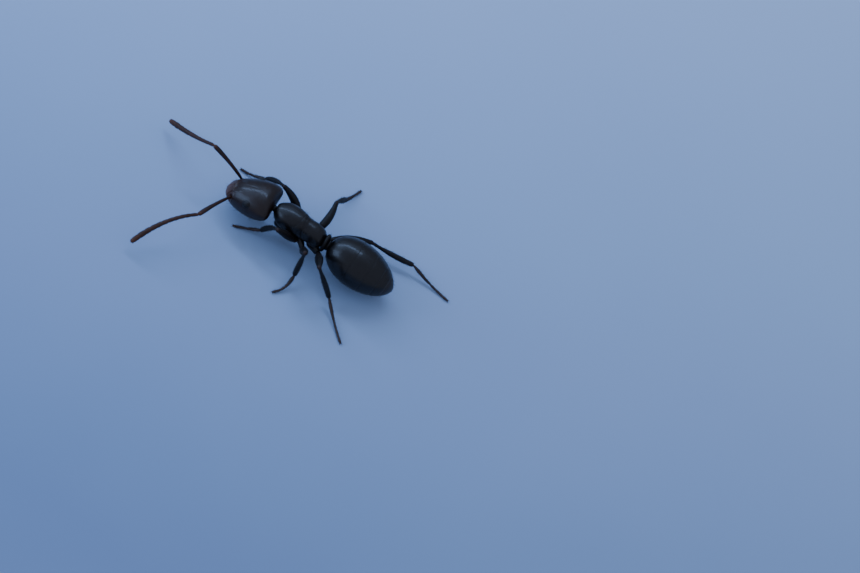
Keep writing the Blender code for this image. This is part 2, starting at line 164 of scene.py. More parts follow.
def hump(distance, width):
    """A bell: exp(-(distance / width)^2)."""
    return np.exp(-((distance / width) ** 2))


def normals_of(tube):
    """Outward normals of a tube: the cross product of its steps along and around."""
    along = np.gradient(tube, axis=0)
    around = np.roll(tube, -1, axis=1) - np.roll(tube, 1, axis=1)
    normal = np.cross(along, around)
    normal /= np.maximum(np.linalg.norm(normal, axis=2, keepdims=True), 1e-12)
    outward = ((tube - tube.mean(axis=1, keepdims=True)) * normal).sum() > 0
    return normal if outward else -normal


def raised(tube, height):
    """The tube with each point moved along its normal by height."""
    return tube + normals_of(tube) * height[..., None]


# %% Tubes along a path


def bent(start, end, bow, t):
    """Points at the shares t of a chord, bent to a parabola whose middle stands off the
    chord by the vector bow: start + (end - start) t + 4 t (1 - t) bow."""
    return start + (end - start) * t[:, None] + 4 * (t * (1 - t))[:, None] * bow


def parabola(start, end, bow, count):
    """The same parabola with count points, which crowd towards both ends."""
    return bent(start, end, bow, eased(count))


def swept(path, radius, columns, flat=1.0):
    """A skin round a path: path(t) + radius(t) (across * side + up * flat * over), where side
    and over stand square to the path, over as near to upright as it can be."""
    ahead = np.gradient(path, axis=0)
    ahead /= np.linalg.norm(ahead, axis=1, keepdims=True)
    chord = np.abs(path[-1] - path[0])
    steep = chord[2] >= 0.9 * np.linalg.norm(chord)
    upright = np.array([1.0, 0, 0] if steep else [0, 0, 1.0])
    side = np.cross(ahead, upright)
    side /= np.linalg.norm(side, axis=1, keepdims=True)
    over = np.cross(side, ahead)
    across, up = superellipse(columns, 2.0)
    ring = across[None, :, None] * side[:, None] + flat * up[None, :, None] * over[:, None]
    return path[:, None] + radius[:, None, None] * ring


def share_along(path):
    """How far along its own length each point of a path lies, from 0 to 1."""
    steps = np.linalg.norm(np.diff(path, axis=0), axis=1)
    return np.concatenate([[0], np.cumsum(steps)]) / steps.sum()


def domed(t, length, radius):
    """Closes both ends of a tube: near an end the radius falls as a quarter circle does."""
    reach = np.maximum(radius, 1e-6)
    near = np.clip(np.minimum(t, 1 - t) * length / reach, 0, 1)
    return radius * np.sqrt(np.clip(1 - (1 - near) ** 2, 1e-4, 1))


def limb(path, stations, radii, columns):
    """A limb's tube: radii at stations along it, drawn through smoothly, with domed ends."""
    t = share_along(path)
    length = np.linalg.norm(np.diff(path, axis=0), axis=1).sum()
    return swept(path, domed(t, length, smooth_through(t, stations, radii)), columns)


def jointed(t, joints, waist):
    """1 along a limb, less waist exp(-x / flare) after each joint and waist exp(-(1 - x) / lip)
    before it, x being the share along a segment: a sharp step in, then a slower flare out."""
    edges = np.concatenate([[0], joints, [1]])
    i = np.clip(np.searchsorted(edges, t, side="right") - 1, 0, len(edges) - 2)
    size = edges[i + 1] - edges[i]
    x = (t - edges[i]) / size
    flare, lip = 0.13, 0.05
    return 1 - waist * np.exp(-x / flare) - waist * np.exp(-(1 - x) / lip)


def pale_ends(t, start, end, start_width=0.05):
    """Paleness towards a limb's ends, where light gets in: a bell of height start at t = 0,
    and another of height end at t = 1."""
    return start * hump(t, start_width) + end * hump(1 - t, 0.05)


# %% [markdown]
# ## From points to a piece
# A piece is one closed mesh, made from whole arrays. Each tube is closed by a fan at each
# end, and its faces are turned outwards if its volume comes out negative. Near a joint the
# chitin is thinner and paler, so each point also carries a number for paleness.

# %% Pieces


def closed_faces(rows, columns):
    """Quads of a tube and the fans to the two end points, which follow the grid's points."""
    grid = np.arange(rows * columns).reshape(rows, columns)
    turned = np.roll(grid, -1, axis=1)
    quads = np.stack([grid[:-1], turned[:-1], turned[1:], grid[1:]], axis=-1).reshape(-1, 4)
    start = np.full(columns, rows * columns)
    near = np.stack([start, turned[0], grid[0]], axis=-1)
    far = np.stack([start + 1, grid[-1], turned[-1]], axis=-1)
    return quads, np.concatenate([near, far])


def inside_out(points, quads):
    """Whether the volume under the quads, as seen from their middle, is negative."""
    p = points - points.mean(0)
    a, b, c, d = (p[quads[:, k]] for k in range(4))
    return (a * (np.cross(b, c) + np.cross(c, d))).sum() < 0


def mesh_of(name, tubes, paleness=None):
    """One mesh from tubes of points in millimetres, with the paleness of each point."""
    points, faces, pale, first = [], [], [], 0
    for k, tube in enumerate(tubes):
        rows, columns = tube.shape[:2]
        own = np.concatenate([tube.reshape(-1, 3), tube[[0, -1]].mean(axis=1)])
        quads, fans = closed_faces(rows, columns)
        if inside_out(own, quads):
            quads, fans = quads[:, ::-1], fans[:, ::-1]
        light = np.zeros(rows) if paleness is None else paleness[k]
        pale.append(np.concatenate([np.repeat(light, columns), light[[0, -1]]]))
        points.append(own)
        faces += (quads + first).tolist() + (fans + first).tolist()
        first += len(own)
    mesh = bpy.data.meshes.new(name)
    mesh.from_pydata((np.concatenate(points) * MM).tolist(), [], faces)
    mesh.shade_smooth()
    mesh.attributes.new("pale", "FLOAT", "POINT").data.foreach_set(
        "value", np.concatenate(pale).astype(np.float32)
    )
    return mesh


def show(name, mesh, finish, nodes=()):
    """Puts a finished mesh in the scene, on the ant's one body, in place of its solids."""
    obj = bpy.data.objects.new(name, mesh)
    bpy.context.scene.collection.objects.link(obj)
    mesh.materials.append(finish)
    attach(obj, BODY)
    if nodes:
        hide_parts(*nodes)
    print(name, len(mesh.polygons), "faces")
    return obj


# %% [markdown]
# ## What chitin looks like
# Hardened, tanned chitin is a dark brown glass-like skin, almost black where it is thick and
# red-brown where light gets through. Its outermost layer is waxy, so it shines like varnish,
# and a net of fine lines, the print of the cells that made it, softens the shine. One family
# of nodes gives all of these; only colours, shine and the size of the net differ.

# %% Nodes and colours
CHITIN_IOR, WAX_ROUGHNESS = 1.36, 0.17
PATCH_MM, WEAR_MM = 0.35, 0.08  # size of the soft colour patches, and of duller spots
PATCH_DARK, PATCH_THIN = 0.36, 0.70  # where in the noise the two tints are reached in full
SHINE_RANGE = (0.75, 1.3)  # how far roughness strays from its mean, as factors
NET_LINE = 0.12  # width of a line of the net, as a share of a cell


def colour(code):
    """An sRGB hex code as linear red, green, blue and alpha 1."""
    parts = [int(code[i : i + 2], 16) / 255 for i in (1, 3, 5)]
    return (*[p / 12.92 if p <= 0.04045 else ((p + 0.055) / 1.055) ** 2.4 for p in parts], 1.0)


def add(tree, kind, fields=None, **inputs):
    """Adds a node, sets its fields, and sets or links its inputs, named with _ for a space."""
    node = tree.nodes.new("ShaderNode" + kind)
    for field, value in (fields or {}).items():
        setattr(node, field, value)
    for name, value in inputs.items():
        socket = node.inputs[int(name[1:])] if name[1:].isdigit() else node.inputs[name.replace("_", " ")]
        if isinstance(value, bpy.types.NodeSocket):
            tree.links.new(value, socket)
        else:
            socket.default_value = value
    return node


def new_material(name):
    """A node material and its node tree, emptied."""
    made = bpy.data.materials.new(name)
    made.use_nodes = True
    made.node_tree.nodes.clear()
    return made, made.node_tree


# %% The chitin family


def chitin(name, deep, thin, pale, shine, net_mm, net_depth_mm, varnish=0.20):
    """Chitin coloured from deep to thin in soft patches, pale near joints; shine is its mean
    roughness, and the net of cell prints has cells net_mm wide and net_depth_mm deep."""
    made, tree = new_material(name)
    where = add(tree, "TexCoord").outputs["Object"]
    patches = add(tree, "TexNoise", Vector=where, Scale=1 / (PATCH_MM * MM), Detail=3.0, Roughness=0.55)
    tint = add(tree, "ValToRGB", _0=patches.outputs["Fac"])
    for stop, place, code in zip(tint.color_ramp.elements, (PATCH_DARK, PATCH_THIN), (deep, thin)):
        stop.position, stop.color = place, colour(code)
    joint = add(tree, "Attribute", {"attribute_name": "pale"}).outputs["Fac"]
    base = add(tree, "Mix", {"data_type": "RGBA"}, _0=joint, _6=tint.outputs["Color"], _7=colour(pale))
    cells = add(tree, "TexVoronoi", {"feature": "DISTANCE_TO_EDGE"}, Vector=where, Scale=1 / (net_mm * MM))
    line = add(tree, "MapRange", Value=cells.outputs["Distance"], From_Max=NET_LINE)
    net = add(tree, "Bump", Height=line.outputs["Result"], Strength=1.0, Distance=net_depth_mm * MM)
    wear = add(tree, "TexNoise", Vector=where, Scale=1 / (WEAR_MM * MM), Detail=2.0)
    dull, bright = shine * SHINE_RANGE[1], shine * SHINE_RANGE[0]
    rough = add(tree, "MapRange", Value=wear.outputs["Fac"], To_Min=bright, To_Max=dull)
    shader = add(
        tree, "BsdfPrincipled", Base_Color=base.outputs[2], Roughness=rough.outputs["Result"],
        Normal=net.outputs["Normal"], IOR=CHITIN_IOR, Coat_Weight=varnish,
        Coat_Roughness=WAX_ROUGHNESS,
    )
    add(tree, "OutputMaterial", Surface=shader.outputs["BSDF"])
    return made


# %% The finishes
# Cells of the net are really 0.015 to 0.02 mm wide; they are drawn twice as coarse to show.
# Head and jaws are less tanned, so they look brown where the chitin is thin. Trunk and waist
# are tanned through and read as black, and the gaster is the same but more polished. Legs
# are duller, and brown near their joints. Feelers are russet and feet tawny, as light passes
# through them. A lens is clear and smooth, and a bristle too thin for a net to show on.
HEAD_CHITIN = chitin("tanned_head_chitin", "#180C08", "#20100B", "#63402F", 0.34, 0.036, 0.0012)
JAW_CHITIN = chitin("tanned_jaw_chitin", "#22110D", "#30180F", "#4A2A1E", 0.38, 0.050, 0.0020)
TRUNK_CHITIN = chitin("black_trunk_chitin", "#0C0808", "#110B09", "#1C1310", 0.36, 0.040, 0.0018)
WAIST_CHITIN = chitin("black_waist_chitin", "#0A0706", "#0F0A08", "#1A110E", 0.42, 0.040, 0.0020, 0.05)
GASTER_CHITIN = chitin("polished_gaster_chitin", "#0A0707", "#0E0A09", "#332B28", 0.32, 0.034, 0.0010)
LEG_CHITIN = chitin("brown_leg_chitin", "#0B0707", "#130C0B", "#45291F", 0.50, 0.040, 0.0014, 0.0)
FOOT_CHITIN = chitin("tawny_foot_chitin", "#2C2220", "#3E2E2A", "#5C4438", 0.46, 0.030, 0.0012, 0.03)
FEELER_CHITIN = chitin("russet_feeler_chitin", "#2A160E", "#3C2016", "#8A4E28", 0.42, 0.030, 0.0014, 0.05)
LENS_CHITIN = chitin("clear_black_lens_chitin", "#0C0706", "#100A08", "#181210", 0.38, 0.200, 0.0003, 0.05)
BRISTLE = chitin("brown_bristle_chitin", "#1A1310", "#221A15", "#221A15", 0.50, 0.200, 0.0002, 0.0)
print("finishes:", len(bpy.data.materials))

# %% [markdown]
# ## Filling a solid's own box
# Head and gaster are tipped, so their boxes are measured in their own tipped frame. A shape
# drawn in any units is stretched to that box, less a thin margin for what stands up from the
# plate, and then tipped back. So the fine plate always lies where its solid lies.

# %% Fitting helpers
SKIN_DEPTH = 0.006  # mm left free all round inside a box


def tipped(points, degrees):
    """Points turned about the Y axis: a positive angle lowers what lies towards -X."""
    c, s = math.cos(math.radians(degrees)), math.sin(math.radians(degrees))
    x, y, z = points[..., 0], points[..., 1], points[..., 2]
    return np.stack([c * x - s * z, y, s * x + c * z], axis=-1)


def own_box(names, degrees=0.0):
    """Lowest and highest corner of solids in the frame they are tipped in."""
    points = tipped(node_points(*names), -degrees)
    return points.min(0), points.max(0)


def filling(shape, box):
    """The shape stretched evenly along each axis to fill the box, less the margin."""
    low, high = shape.reshape(-1, 3).min(0), shape.reshape(-1, 3).max(0)
    share = (shape - low) / (high - low)
    return box[0] + SKIN_DEPTH + share * (box[1] - box[0] - 2 * SKIN_DEPTH)


# %% [markdown]
# ## The head capsule
# The head is one hard capsule, narrow at the jaws and broad behind, with a slightly hollow
# hind border. Its face carries what a closer look should find: the shield over the mouth
# with its keel, a pit for each feeler between the mouth shield and a raised frontal ridge,
# and a fine line down the middle of the brow. They are bells and steps added along the
# normals, so that they are real relief and not only bump. The muzzle is the palest part.

# %% Head
HEAD_PITCH = 20.0  # degrees that the face is tipped towards the floor
# Length, half width, height over and depth under the axis: proportions, as the box sets sizes.
HEAD_LONG, HEAD_HALF, HEAD_CROWN, HEAD_THROAT = 2.19, 0.945, 0.66, 0.58
HEAD_RING = 2.15  # power of the ring: a little squarer than an ellipse
SIDE_EGG, CROWN_EGG, THROAT_EGG = (0.435, 0.135), (0.51, 0.32), (0.45, 0.41)  # powers of eggs
HIND_HOLLOW = 0.10
head_box = own_box(["head"], HEAD_PITCH)
head_y = (head_box[0][1] + head_box[1][1]) / 2


def head_capsule(rows=150, columns=200):
    """An egg along x, hind border drawn in by a hollow that fades with the sixth power of u."""
    u = eased(rows, POLE_GAP)
    across, up = superellipse(columns, HEAD_RING)
    y = (HEAD_HALF * egg(u, *SIDE_EGG))[:, None] * across
    crown, throat = HEAD_CROWN * egg(u, *CROWN_EGG), HEAD_THROAT * egg(u, *THROAT_EGG)
    z = np.where(up > 0, crown[:, None], throat[:, None]) * up
    hollow = HIND_HOLLOW * (1 - np.clip(np.abs(y) / HEAD_HALF, 0, 1) ** 2) * (u**6)[:, None]
    return np.stack([HEAD_LONG * u[:, None] - hollow, y, z], axis=-1)


head_own = filling(head_capsule(), head_box)
print("head reaches from", head_box[0].round(2), "to", head_box[1].round(2), "mm in its own frame")

# %% The face
SOCKET_BACK, SOCKET_OUT = 0.35, 0.54  # the feeler's pit, from the front end and from the middle
SHIELD_BACK, SHIELD_HALF, SHIELD_TAPER = 0.44, 0.52, 0.50
RIDGE_FROM, RIDGE_OUT, RIDGE_SPLAY = 0.30, 0.30, 0.20  # where it starts, how far out, how it splays
# How high each feature stands, or how deep it is sunk.
SHIELD_RISE, SHIELD_GROOVE, KEEL_RISE, RIDGE_RISE = 0.030, 0.020, 0.016, 0.022
PIT_DEPTH, PIT_RIM, BROW_DEPTH = 0.055, 0.020, 0.008
MUZZLE_PALE, MUZZLE_REACH = 0.85, 0.32


def face_relief(tube):
    """Heights in mm of the face's features, from the distance back s and out y: bells across
    each line or pit, times steps that fade it out along its length and below the face."""
    s, y = tube[..., 0] - head_box[0][0], np.abs(tube[..., 1] - head_y)
    top = step_up((tube[..., 2] - tube[..., 2].mean()) / 0.12 + 0.5)
    inside = np.minimum(SHIELD_BACK - s, SHIELD_HALF - SHIELD_TAPER * s - y)
    shield = SHIELD_RISE * step_up(inside / 0.06) - SHIELD_GROOVE * hump(inside, width=0.022)
    keel = KEEL_RISE * hump(y, width=0.030) * step_up(inside / 0.05)
    ridge = RIDGE_RISE * hump(y - (RIDGE_OUT + RIDGE_SPLAY * (s - RIDGE_FROM)), width=0.045)
    ridge = ridge * step_up((s - RIDGE_FROM) / 0.12) * step_up((1.0 - s) / 0.5)
    from_pit = np.hypot(s - SOCKET_BACK, y - SOCKET_OUT)
    pit = -PIT_DEPTH * hump(from_pit, width=0.075) + PIT_RIM * hump(from_pit - 0.125, width=0.030)
    brow_line = -BROW_DEPTH * hump(y, width=0.016) * step_up((s - 0.52) / 0.1) * step_up((1.45 - s) / 0.2)
    return top * (shield + keel + ridge + pit + brow_line)


head_own = raised(head_own, face_relief(head_own))
head_tube = tipped(head_own, HEAD_PITCH)
rows_from_front = head_own[..., 0].mean(axis=1) - head_box[0][0]
head_pale = MUZZLE_PALE * hump(rows_from_front, MUZZLE_REACH)
name = "head_capsule"
show(name, mesh_of(name, [head_tube], [head_pale]), HEAD_CHITIN, ["head"])

# %% [markdown]
# ## Eyes
# An ant's eye is a bulge of some hundreds of six-sided lenses. A half-sunk ellipsoid carries
# them as a sum of three waves 120 degrees apart, whose crests fall on a honeycomb. A lens is
# really about 0.02 mm wide, and is drawn half as wide again, so that it shows.

# %% Eyes
EYE_HALF = (0.200, 0.160, 0.120)  # along the head, across it, and out of it
EYE_SINK = 0.055  # how deep the ellipsoid's middle lies under the head's surface
LENS_WIDTH, LENS_RISE = 0.030, 0.0045


def eye(side, rows=90, columns=140):
    """p = centre + half axes times the unit sphere, with the honeycomb added outwards."""
    middle = node_points("eye_" + side).mean(0)
    flat = head_tube.reshape(-1, 3)
    nearest = np.linalg.norm(flat - middle, axis=1).argmin()
    out = normals_of(head_tube).reshape(-1, 3)[nearest]
    ahead = tipped(np.array([1.0, 0, 0]), HEAD_PITCH)
    along = ahead - out * (ahead @ out)
    along /= np.linalg.norm(along)
    across = np.cross(out, along)
    angle = np.linspace(POLE_GAP, np.pi - POLE_GAP, rows)[:, None]
    turn = np.linspace(0, 2 * np.pi, columns, endpoint=False)
    a, b, c = np.sin(angle) * np.cos(turn), np.sin(angle) * np.sin(turn), np.cos(angle) + 0 * turn
    k = 2 * np.pi / (LENS_WIDTH * math.sqrt(3) / 2)  # rows of a honeycomb lie this much closer
    waves = sum(
        np.cos(k * (math.cos(w) * a * EYE_HALF[0] + math.sin(w) * b * EYE_HALF[1]))
        for w in (0, 2 * np.pi / 3, 4 * np.pi / 3)
    )
    swell = 1 + (LENS_RISE / EYE_HALF[2]) * waves / 3
    local = [a * EYE_HALF[0], b * EYE_HALF[1], c * EYE_HALF[2] * swell]
    bulge = sum(part[..., None] * way for part, way in zip(local, (along, across, out)))
    tube = flat[nearest] - EYE_SINK * out + bulge
    name = "eye_lenses_" + side
    show(name, mesh_of(name, [tube]), LENS_CHITIN, ["eye_" + side])


for side in SIDES:
    eye(side)

# %% [markdown]
# ## Jaws and palps
# The jaws are closed: each is a curved blade that runs in from the corner of the head and
# ends in a row of teeth. Below them hang the palps, thin jointed feelers for taste. The
# blade is a flattened tube along a bent path in the head's own frame: each knot is a place
# back from the front end, out from the middle and up from the axis of the head.

# %% Jaws
JAW_PATH = (
    (0.50, 0.34, -0.24), (0.38, 0.32, -0.31), (0.30, 0.26, -0.36), (0.24, 0.17, -0.39),
    (0.22, 0.07, -0.40),
)
JAW_RADII = (0.08, 0.105, 0.105, 0.09, 0.06)
JAW_POINTS, JAW_LENGTH, JAW_FLATNESS = 40, 0.8, 0.62
TOOTH_COUNT, FIRST_TOOTH = 5, 16  # the teeth start at this point of the blade
TOOTH_LENGTH, TIP_TOOTH_MORE, TOOTH_WIDTH, TOOTH_FAN, TOOTH_DROP = 0.075, 0.05, 0.042, 0.018, 0.03
CONE_POINTS, CONE_TAPER, CONE_FOOT = 9, 0.97, 0.35
axis_share = HEAD_THROAT / (HEAD_CROWN + HEAD_THROAT)
head_axis_z = head_box[0][2] + (head_box[1][2] - head_box[0][2]) * axis_share


def from_head(points):
    """Points given from the head's front end, out from its middle and up from its axis."""
    base = np.array([head_box[0][0], head_y, head_axis_z])
    return tipped(np.asarray(points, float) + base, HEAD_PITCH)


def through(knots, count):
    """A smooth path through the knots, each coordinate a cubic of the share along them."""
    knots = np.asarray(knots, float)
    share = share_along(knots)
    t = np.linspace(0, 1, count)
    return np.stack([smooth_through(t, share, knots[:, k]) for k in range(3)], axis=-1)


def cone(root, tip, width, bow=(0, 0, 0), columns=8):
    """A spine that tapers from width to almost nothing as 1 - taper t, drawn in at its foot
    and bent by the vector bow."""
    path = parabola(np.asarray(root, float), np.asarray(tip, float), np.asarray(bow, float), CONE_POINTS)
    t = share_along(path)
    foot = CONE_FOOT + (1 - CONE_FOOT) * step_up(t / 0.1)
    return swept(path, width * (1 - CONE_TAPER * t) * foot, columns)


# %% One jaw


def jaw(side, sign):
    """A blade, a flattened tube along the jaw's path, and teeth, cones that fan out inwards."""
    path = through(np.array(JAW_PATH) * [1, sign, 1], JAW_POINTS)
    t = share_along(path)
    radius = domed(t, JAW_LENGTH, smooth_through(t, np.linspace(0, 1, len(JAW_RADII)), JAW_RADII))
    blade = swept(from_head(path), radius, 28, JAW_FLATNESS)
    teeth = []
    for k in range(TOOTH_COUNT):
        at = path[int(FIRST_TOOTH + (JAW_POINTS - 1 - FIRST_TOOTH) * k / (TOOTH_COUNT - 1))]
        inwards = TOOTH_LENGTH + TIP_TOOTH_MORE * (k == TOOTH_COUNT - 1)
        tip = at + np.array([TOOTH_LENGTH - TOOTH_FAN * k, -sign * inwards, -TOOTH_DROP])
        teeth.append(cone(from_head(at), from_head(tip), TOOTH_WIDTH))
    name = "jaw_" + side
    show(name, mesh_of(name, [blade, *teeth]), JAW_CHITIN, ["mandible_" + side])


# %% Palps
PALP_KNOTS = {
    "long": ((0.80, 0.12, -0.50), (0.66, 0.16, -0.57), (0.52, 0.17, -0.56), (0.42, 0.14, -0.50)),
    "short": ((0.80, 0.05, -0.51), (0.68, 0.06, -0.57), (0.57, 0.06, -0.56)),
}
PALP_JOINTS = {"long": (0.2, 0.42, 0.62, 0.82), "short": (0.33, 0.66)}
PALP_RADIUS, PALP_LENGTH, PALP_PINCH = 0.024, 0.6, 0.35


def palp(kind, side, sign):
    """A thin jointed tube along its knots, of one radius but for the pinches."""
    path = from_head(through(np.array(PALP_KNOTS[kind]) * [1, sign, 1], 60))
    t = share_along(path)
    radius = PALP_RADIUS * jointed(t, PALP_JOINTS[kind], PALP_PINCH)
    name = f"palp_{kind}_{side}"
    tube = swept(path, domed(t, PALP_LENGTH, radius), 12)
    show(name, mesh_of(name, [tube]), FEELER_CHITIN)


for side, sign in SIDES.items():
    jaw(side, sign)
    palp("long", side, sign)
    palp("short", side, sign)

# %% [markdown]
# ## Feelers
# A feeler is a long shaft, the scape, and after a sharp elbow a whip of eleven short
# segments that thickens a little towards its tip. Both are tubes from joint to joint of
# their solids, bent as the solids bend, with a small extra bow where life bends more. The
# shaft's root stands in its pit, a place in the head's own frame: back from the front end,
# out, and up from the axis. The whip's joints are pinches in its radius. A feeler is palest
# at its joints and towards the whip's tip.

# %% Feelers
SCAPE_STATIONS = (0, 0.03, 0.07, 0.13, 0.55, 0.90, 1.0)
SCAPE_RADII = (0.062, 0.064, 0.044, 0.054, 0.076, 0.094, 0.088)
WHIP_STATIONS, WHIP_RADII = (0, 0.10, 0.35, 0.70, 0.92, 1.0), (0.060, 0.068, 0.080, 0.102, 0.106, 0.084)
WHIP_JOINTS = (0.115, 0.195, 0.275, 0.355, 0.435, 0.515, 0.60, 0.685, 0.77, 0.86)
SOLID_OVERREACH = 0.20  # how far the thick solid's round tip stands beyond the slender real one
SCAPE_ROOT = {"left": (0.365, -0.465, 0.136), "right": (0.425, 0.565, 0.074)}
WHIP_PINCH, WHIP_POINTS = 0.20, 330
WHIP_PALE, TIP_PALE, TIP_FROM = 0.10, 0.22, 0.80  # the last part of the whip is paler
WHIP_BOW = {"left": np.array([-0.05, 0.08, 0.06]), "right": np.array([0.0, -0.01, -0.01])}
SCAPE_BOW = {"left": np.zeros(3), "right": np.array([0.0, 0.02, 0.02])}
feeler_tubes = {}

# %% One feeler


def feeler(side):
    """The shaft from its pit to the elbow, and the whip from there to the solid's far end."""
    elbow = meeting("scape_" + side, "funiculus_base_" + side)
    scape_nodes = ["scape_" + side]
    root = from_head(SCAPE_ROOT[side])
    path = parabola(root, elbow, bow_between(root, elbow, scape_nodes) + SCAPE_BOW[side], 70)
    scape = limb(path, SCAPE_STATIONS, SCAPE_RADII, 28)
    light = pale_ends(share_along(path), 0.2, 0.25)
    name = "feeler_shaft_" + side
    show(name, mesh_of(name, [scape], [light]), FEELER_CHITIN, scape_nodes)
    whip_nodes = ["funiculus_base_" + side, "funiculus_tip_" + side]
    tip = far_end(elbow, whip_nodes[1:], SOLID_OVERREACH)
    bow = bow_between(elbow, tip, whip_nodes) + WHIP_BOW[side]
    path = bent(elbow, tip, bow, np.linspace(0, 1, WHIP_POINTS))
    t = share_along(path)
    radius = smooth_through(t, WHIP_STATIONS, WHIP_RADII) * jointed(t, WHIP_JOINTS, WHIP_PINCH)
    whip = swept(path, domed(t, np.linalg.norm(tip - elbow), radius), 28)
    name = "feeler_whip_" + side
    light = WHIP_PALE + TIP_PALE * step_up((t - TIP_FROM) / 0.2) + 0.25 * hump(t, 0.03)
    show(name, mesh_of(name, [whip], [light]), FEELER_CHITIN, whip_nodes)
    feeler_tubes[side] = (scape, whip)
    print(side, "elbow", elbow.round(2), "tip", tip.round(2), "mm")


for side in SIDES:
    feeler(side)

# %% [markdown]
# ## The trunk
# Behind the head come three plates: a broad collar that carries the front legs, a domed
# middle plate, and a hind plate that slopes down to the waist. Each solid was parted from
# the next by a leaning cut, so each fine plate runs from cut to cut. Its edges are rolled
# in, as real plates are, and the dark line between them is the true gap. Sutures and the
# breathing holes on the flanks are relief.

# %% Trunk plates
TRUNK_NODES = ["pronotum", "mesonotum", "propodeum"]
# Half width, top and bottom in mm at stations along x, the first of which is the front end.
TRUNK_STATIONS = (-1.22, -1.14, -1.02, -0.80, -0.58, -0.36, -0.12, 0.06, 0.20, 0.34, 0.56, 0.78, 0.96, 1.12)
TRUNK_HALF_WIDTH = (0.21, 0.32, 0.43, 0.555, 0.58, 0.56, 0.51, 0.465, 0.44, 0.44, 0.45, 0.43, 0.38, 0.22)
TRUNK_TOP = (1.49, 1.56, 1.63, 1.72, 1.765, 1.785, 1.77, 1.74, 1.69, 1.69, 1.68, 1.62, 1.52, 1.34)
TRUNK_BOTTOM = (1.13, 1.07, 0.97, 0.88, 0.83, 0.80, 0.79, 0.79, 0.79, 0.79, 0.80, 0.81, 0.84, 0.95)
trunk_box = own_box(TRUNK_NODES)
trunk_shift = trunk_box[0][0] - TRUNK_STATIONS[0]
trunk_y = (trunk_box[0][1] + trunk_box[1][1]) / 2
print("trunk's middle at y =", trunk_y.round(2), "mm")

# %% Rings and relief of the trunk
SIDE_FROM, FLANK_TOP = 0.18, 1.45  # the flanks' relief starts this far out, and ends this high
FLANK_GROOVE, BELLY_GROOVE, FLANK_SWELL, GLAND_SWELL = 0.016, 0.014, 0.035, 0.040
HOLES = ((0.24, 1.46), (0.72, 1.28))  # breathing holes: x along the trunk, and height
HOLE_RIM, HOLE_DEPTH = 0.014, 0.030


def trunk_ring(x, across, up):
    """Points round the trunk at x, which is given for each row and column: half width times
    across, and the middle height plus half the height times up."""
    at = x - trunk_shift
    half = smooth_through(at, TRUNK_STATIONS, TRUNK_HALF_WIDTH)
    top = smooth_through(at, TRUNK_STATIONS, TRUNK_TOP)
    bottom = smooth_through(at, TRUNK_STATIONS, TRUNK_BOTTOM)
    z = (top + bottom) / 2 + (top - bottom) / 2 * up
    return np.stack([x, trunk_y + half * across, z], axis=-1)


def trunk_relief(tube):
    """Sutures and breathing holes, in mm, from x along the trunk and the height z."""
    x, z = tube[..., 0] - trunk_shift, tube[..., 2]
    side = step_up((np.abs(tube[..., 1] - trunk_y) - SIDE_FROM) / 0.12)
    below = step_up((FLANK_TOP - z) / 0.1)
    flank_line = -FLANK_GROOVE * hump(x + 0.02 - 0.35 * (z - 1.2), width=0.020) * side * below
    belly_line = -BELLY_GROOVE * hump(z - 1.00 - 0.15 * x, width=0.018) * side * step_up((x + 0.45) / 0.1)
    flank_swell = FLANK_SWELL * hump(x + 0.18, width=0.20) * hump(z - 1.12, width=0.20) * side
    gland = GLAND_SWELL * hump(x - 0.82, width=0.14) * hump(z - 0.98, width=0.10) * side
    holes = 0
    for hole_x, hole_z in HOLES:
        away = np.hypot(x - hole_x, z - hole_z)
        holes = holes + (HOLE_RIM * hump(away - 0.045, 0.014) - HOLE_DEPTH * hump(away, 0.026)) * side
    return flank_line + belly_line + flank_swell + gland + holes


# %% One plate of the trunk
TRUNK_RING = 2.2
HALF_CUT = 0.003  # half of the true gap between two plates
EDGE_ROLL, ROLL_IN = 0.022, 0.016  # an edge rolls in over so many mm, by this share of the ring
EDGE_PALE = 0.15


def cut_slope(first, second):
    """A point on the cut between two plates, and how far it moves along x for each mm up."""
    a, b = node_points(first), node_points(second)
    apart = np.linalg.norm(a[:, None] - b[None], axis=2)
    rim = a[apart.min(1) < CUT_WIDTH]
    slope, _ = np.polyfit(rim[:, 2], rim[:, 0], 1)
    return rim.mean(0), slope


def trunk_plate(name, node, start, end, columns=150, rows=74):
    """Rings of the trunk from edge to edge, x = edge0 (1 - row) + edge1 row. An edge is a cut's
    point and slope, or None at an end of the trunk."""
    across, up = superellipse(columns, TRUNK_RING)
    edges = []
    for edge, side in ((start, 1), (end, -1)):
        if edge is None:
            edges.append(np.full(columns, trunk_box[0 if side > 0 else 1][0] + side * SKIN_DEPTH))
            continue
        point, slope = edge
        level = trunk_ring(np.full(columns, point[0]), across, up)[:, 2]
        edges.append(point[0] + slope * (level - point[2]) + side * HALF_CUT)
    row = eased(rows)[:, None]
    x = edges[0] * (1 - row) + edges[1] * row
    tube = trunk_ring(x, across, up)
    tube = raised(tube, trunk_relief(tube))
    middle = tube.mean(axis=1, keepdims=True)
    from_edge = np.minimum(x - edges[0], edges[1] - x)
    roll = 1 - ROLL_IN * (1 - step_up(from_edge / EDGE_ROLL)) ** 2
    tube = middle + (tube - middle) * np.stack([np.ones_like(roll), roll, roll], axis=-1)
    light = EDGE_PALE * (hump(row[:, 0], 0.03) + hump(1 - row[:, 0], 0.03))
    show(name, mesh_of(name, [tube], [light]), TRUNK_CHITIN, [node])
    return tube


# %% The three plates
front_cut, hind_cut = cut_slope("pronotum", "mesonotum"), cut_slope("mesonotum", "propodeum")
trunk_tubes = [
    trunk_plate("collar_plate", "pronotum", None, front_cut),
    trunk_plate("middle_plate", "mesonotum", front_cut, hind_cut),
    trunk_plate("hind_plate", "propodeum", hind_cut, None),
]
print("cuts lean", round(front_cut[1], 2), round(hind_cut[1], 2))

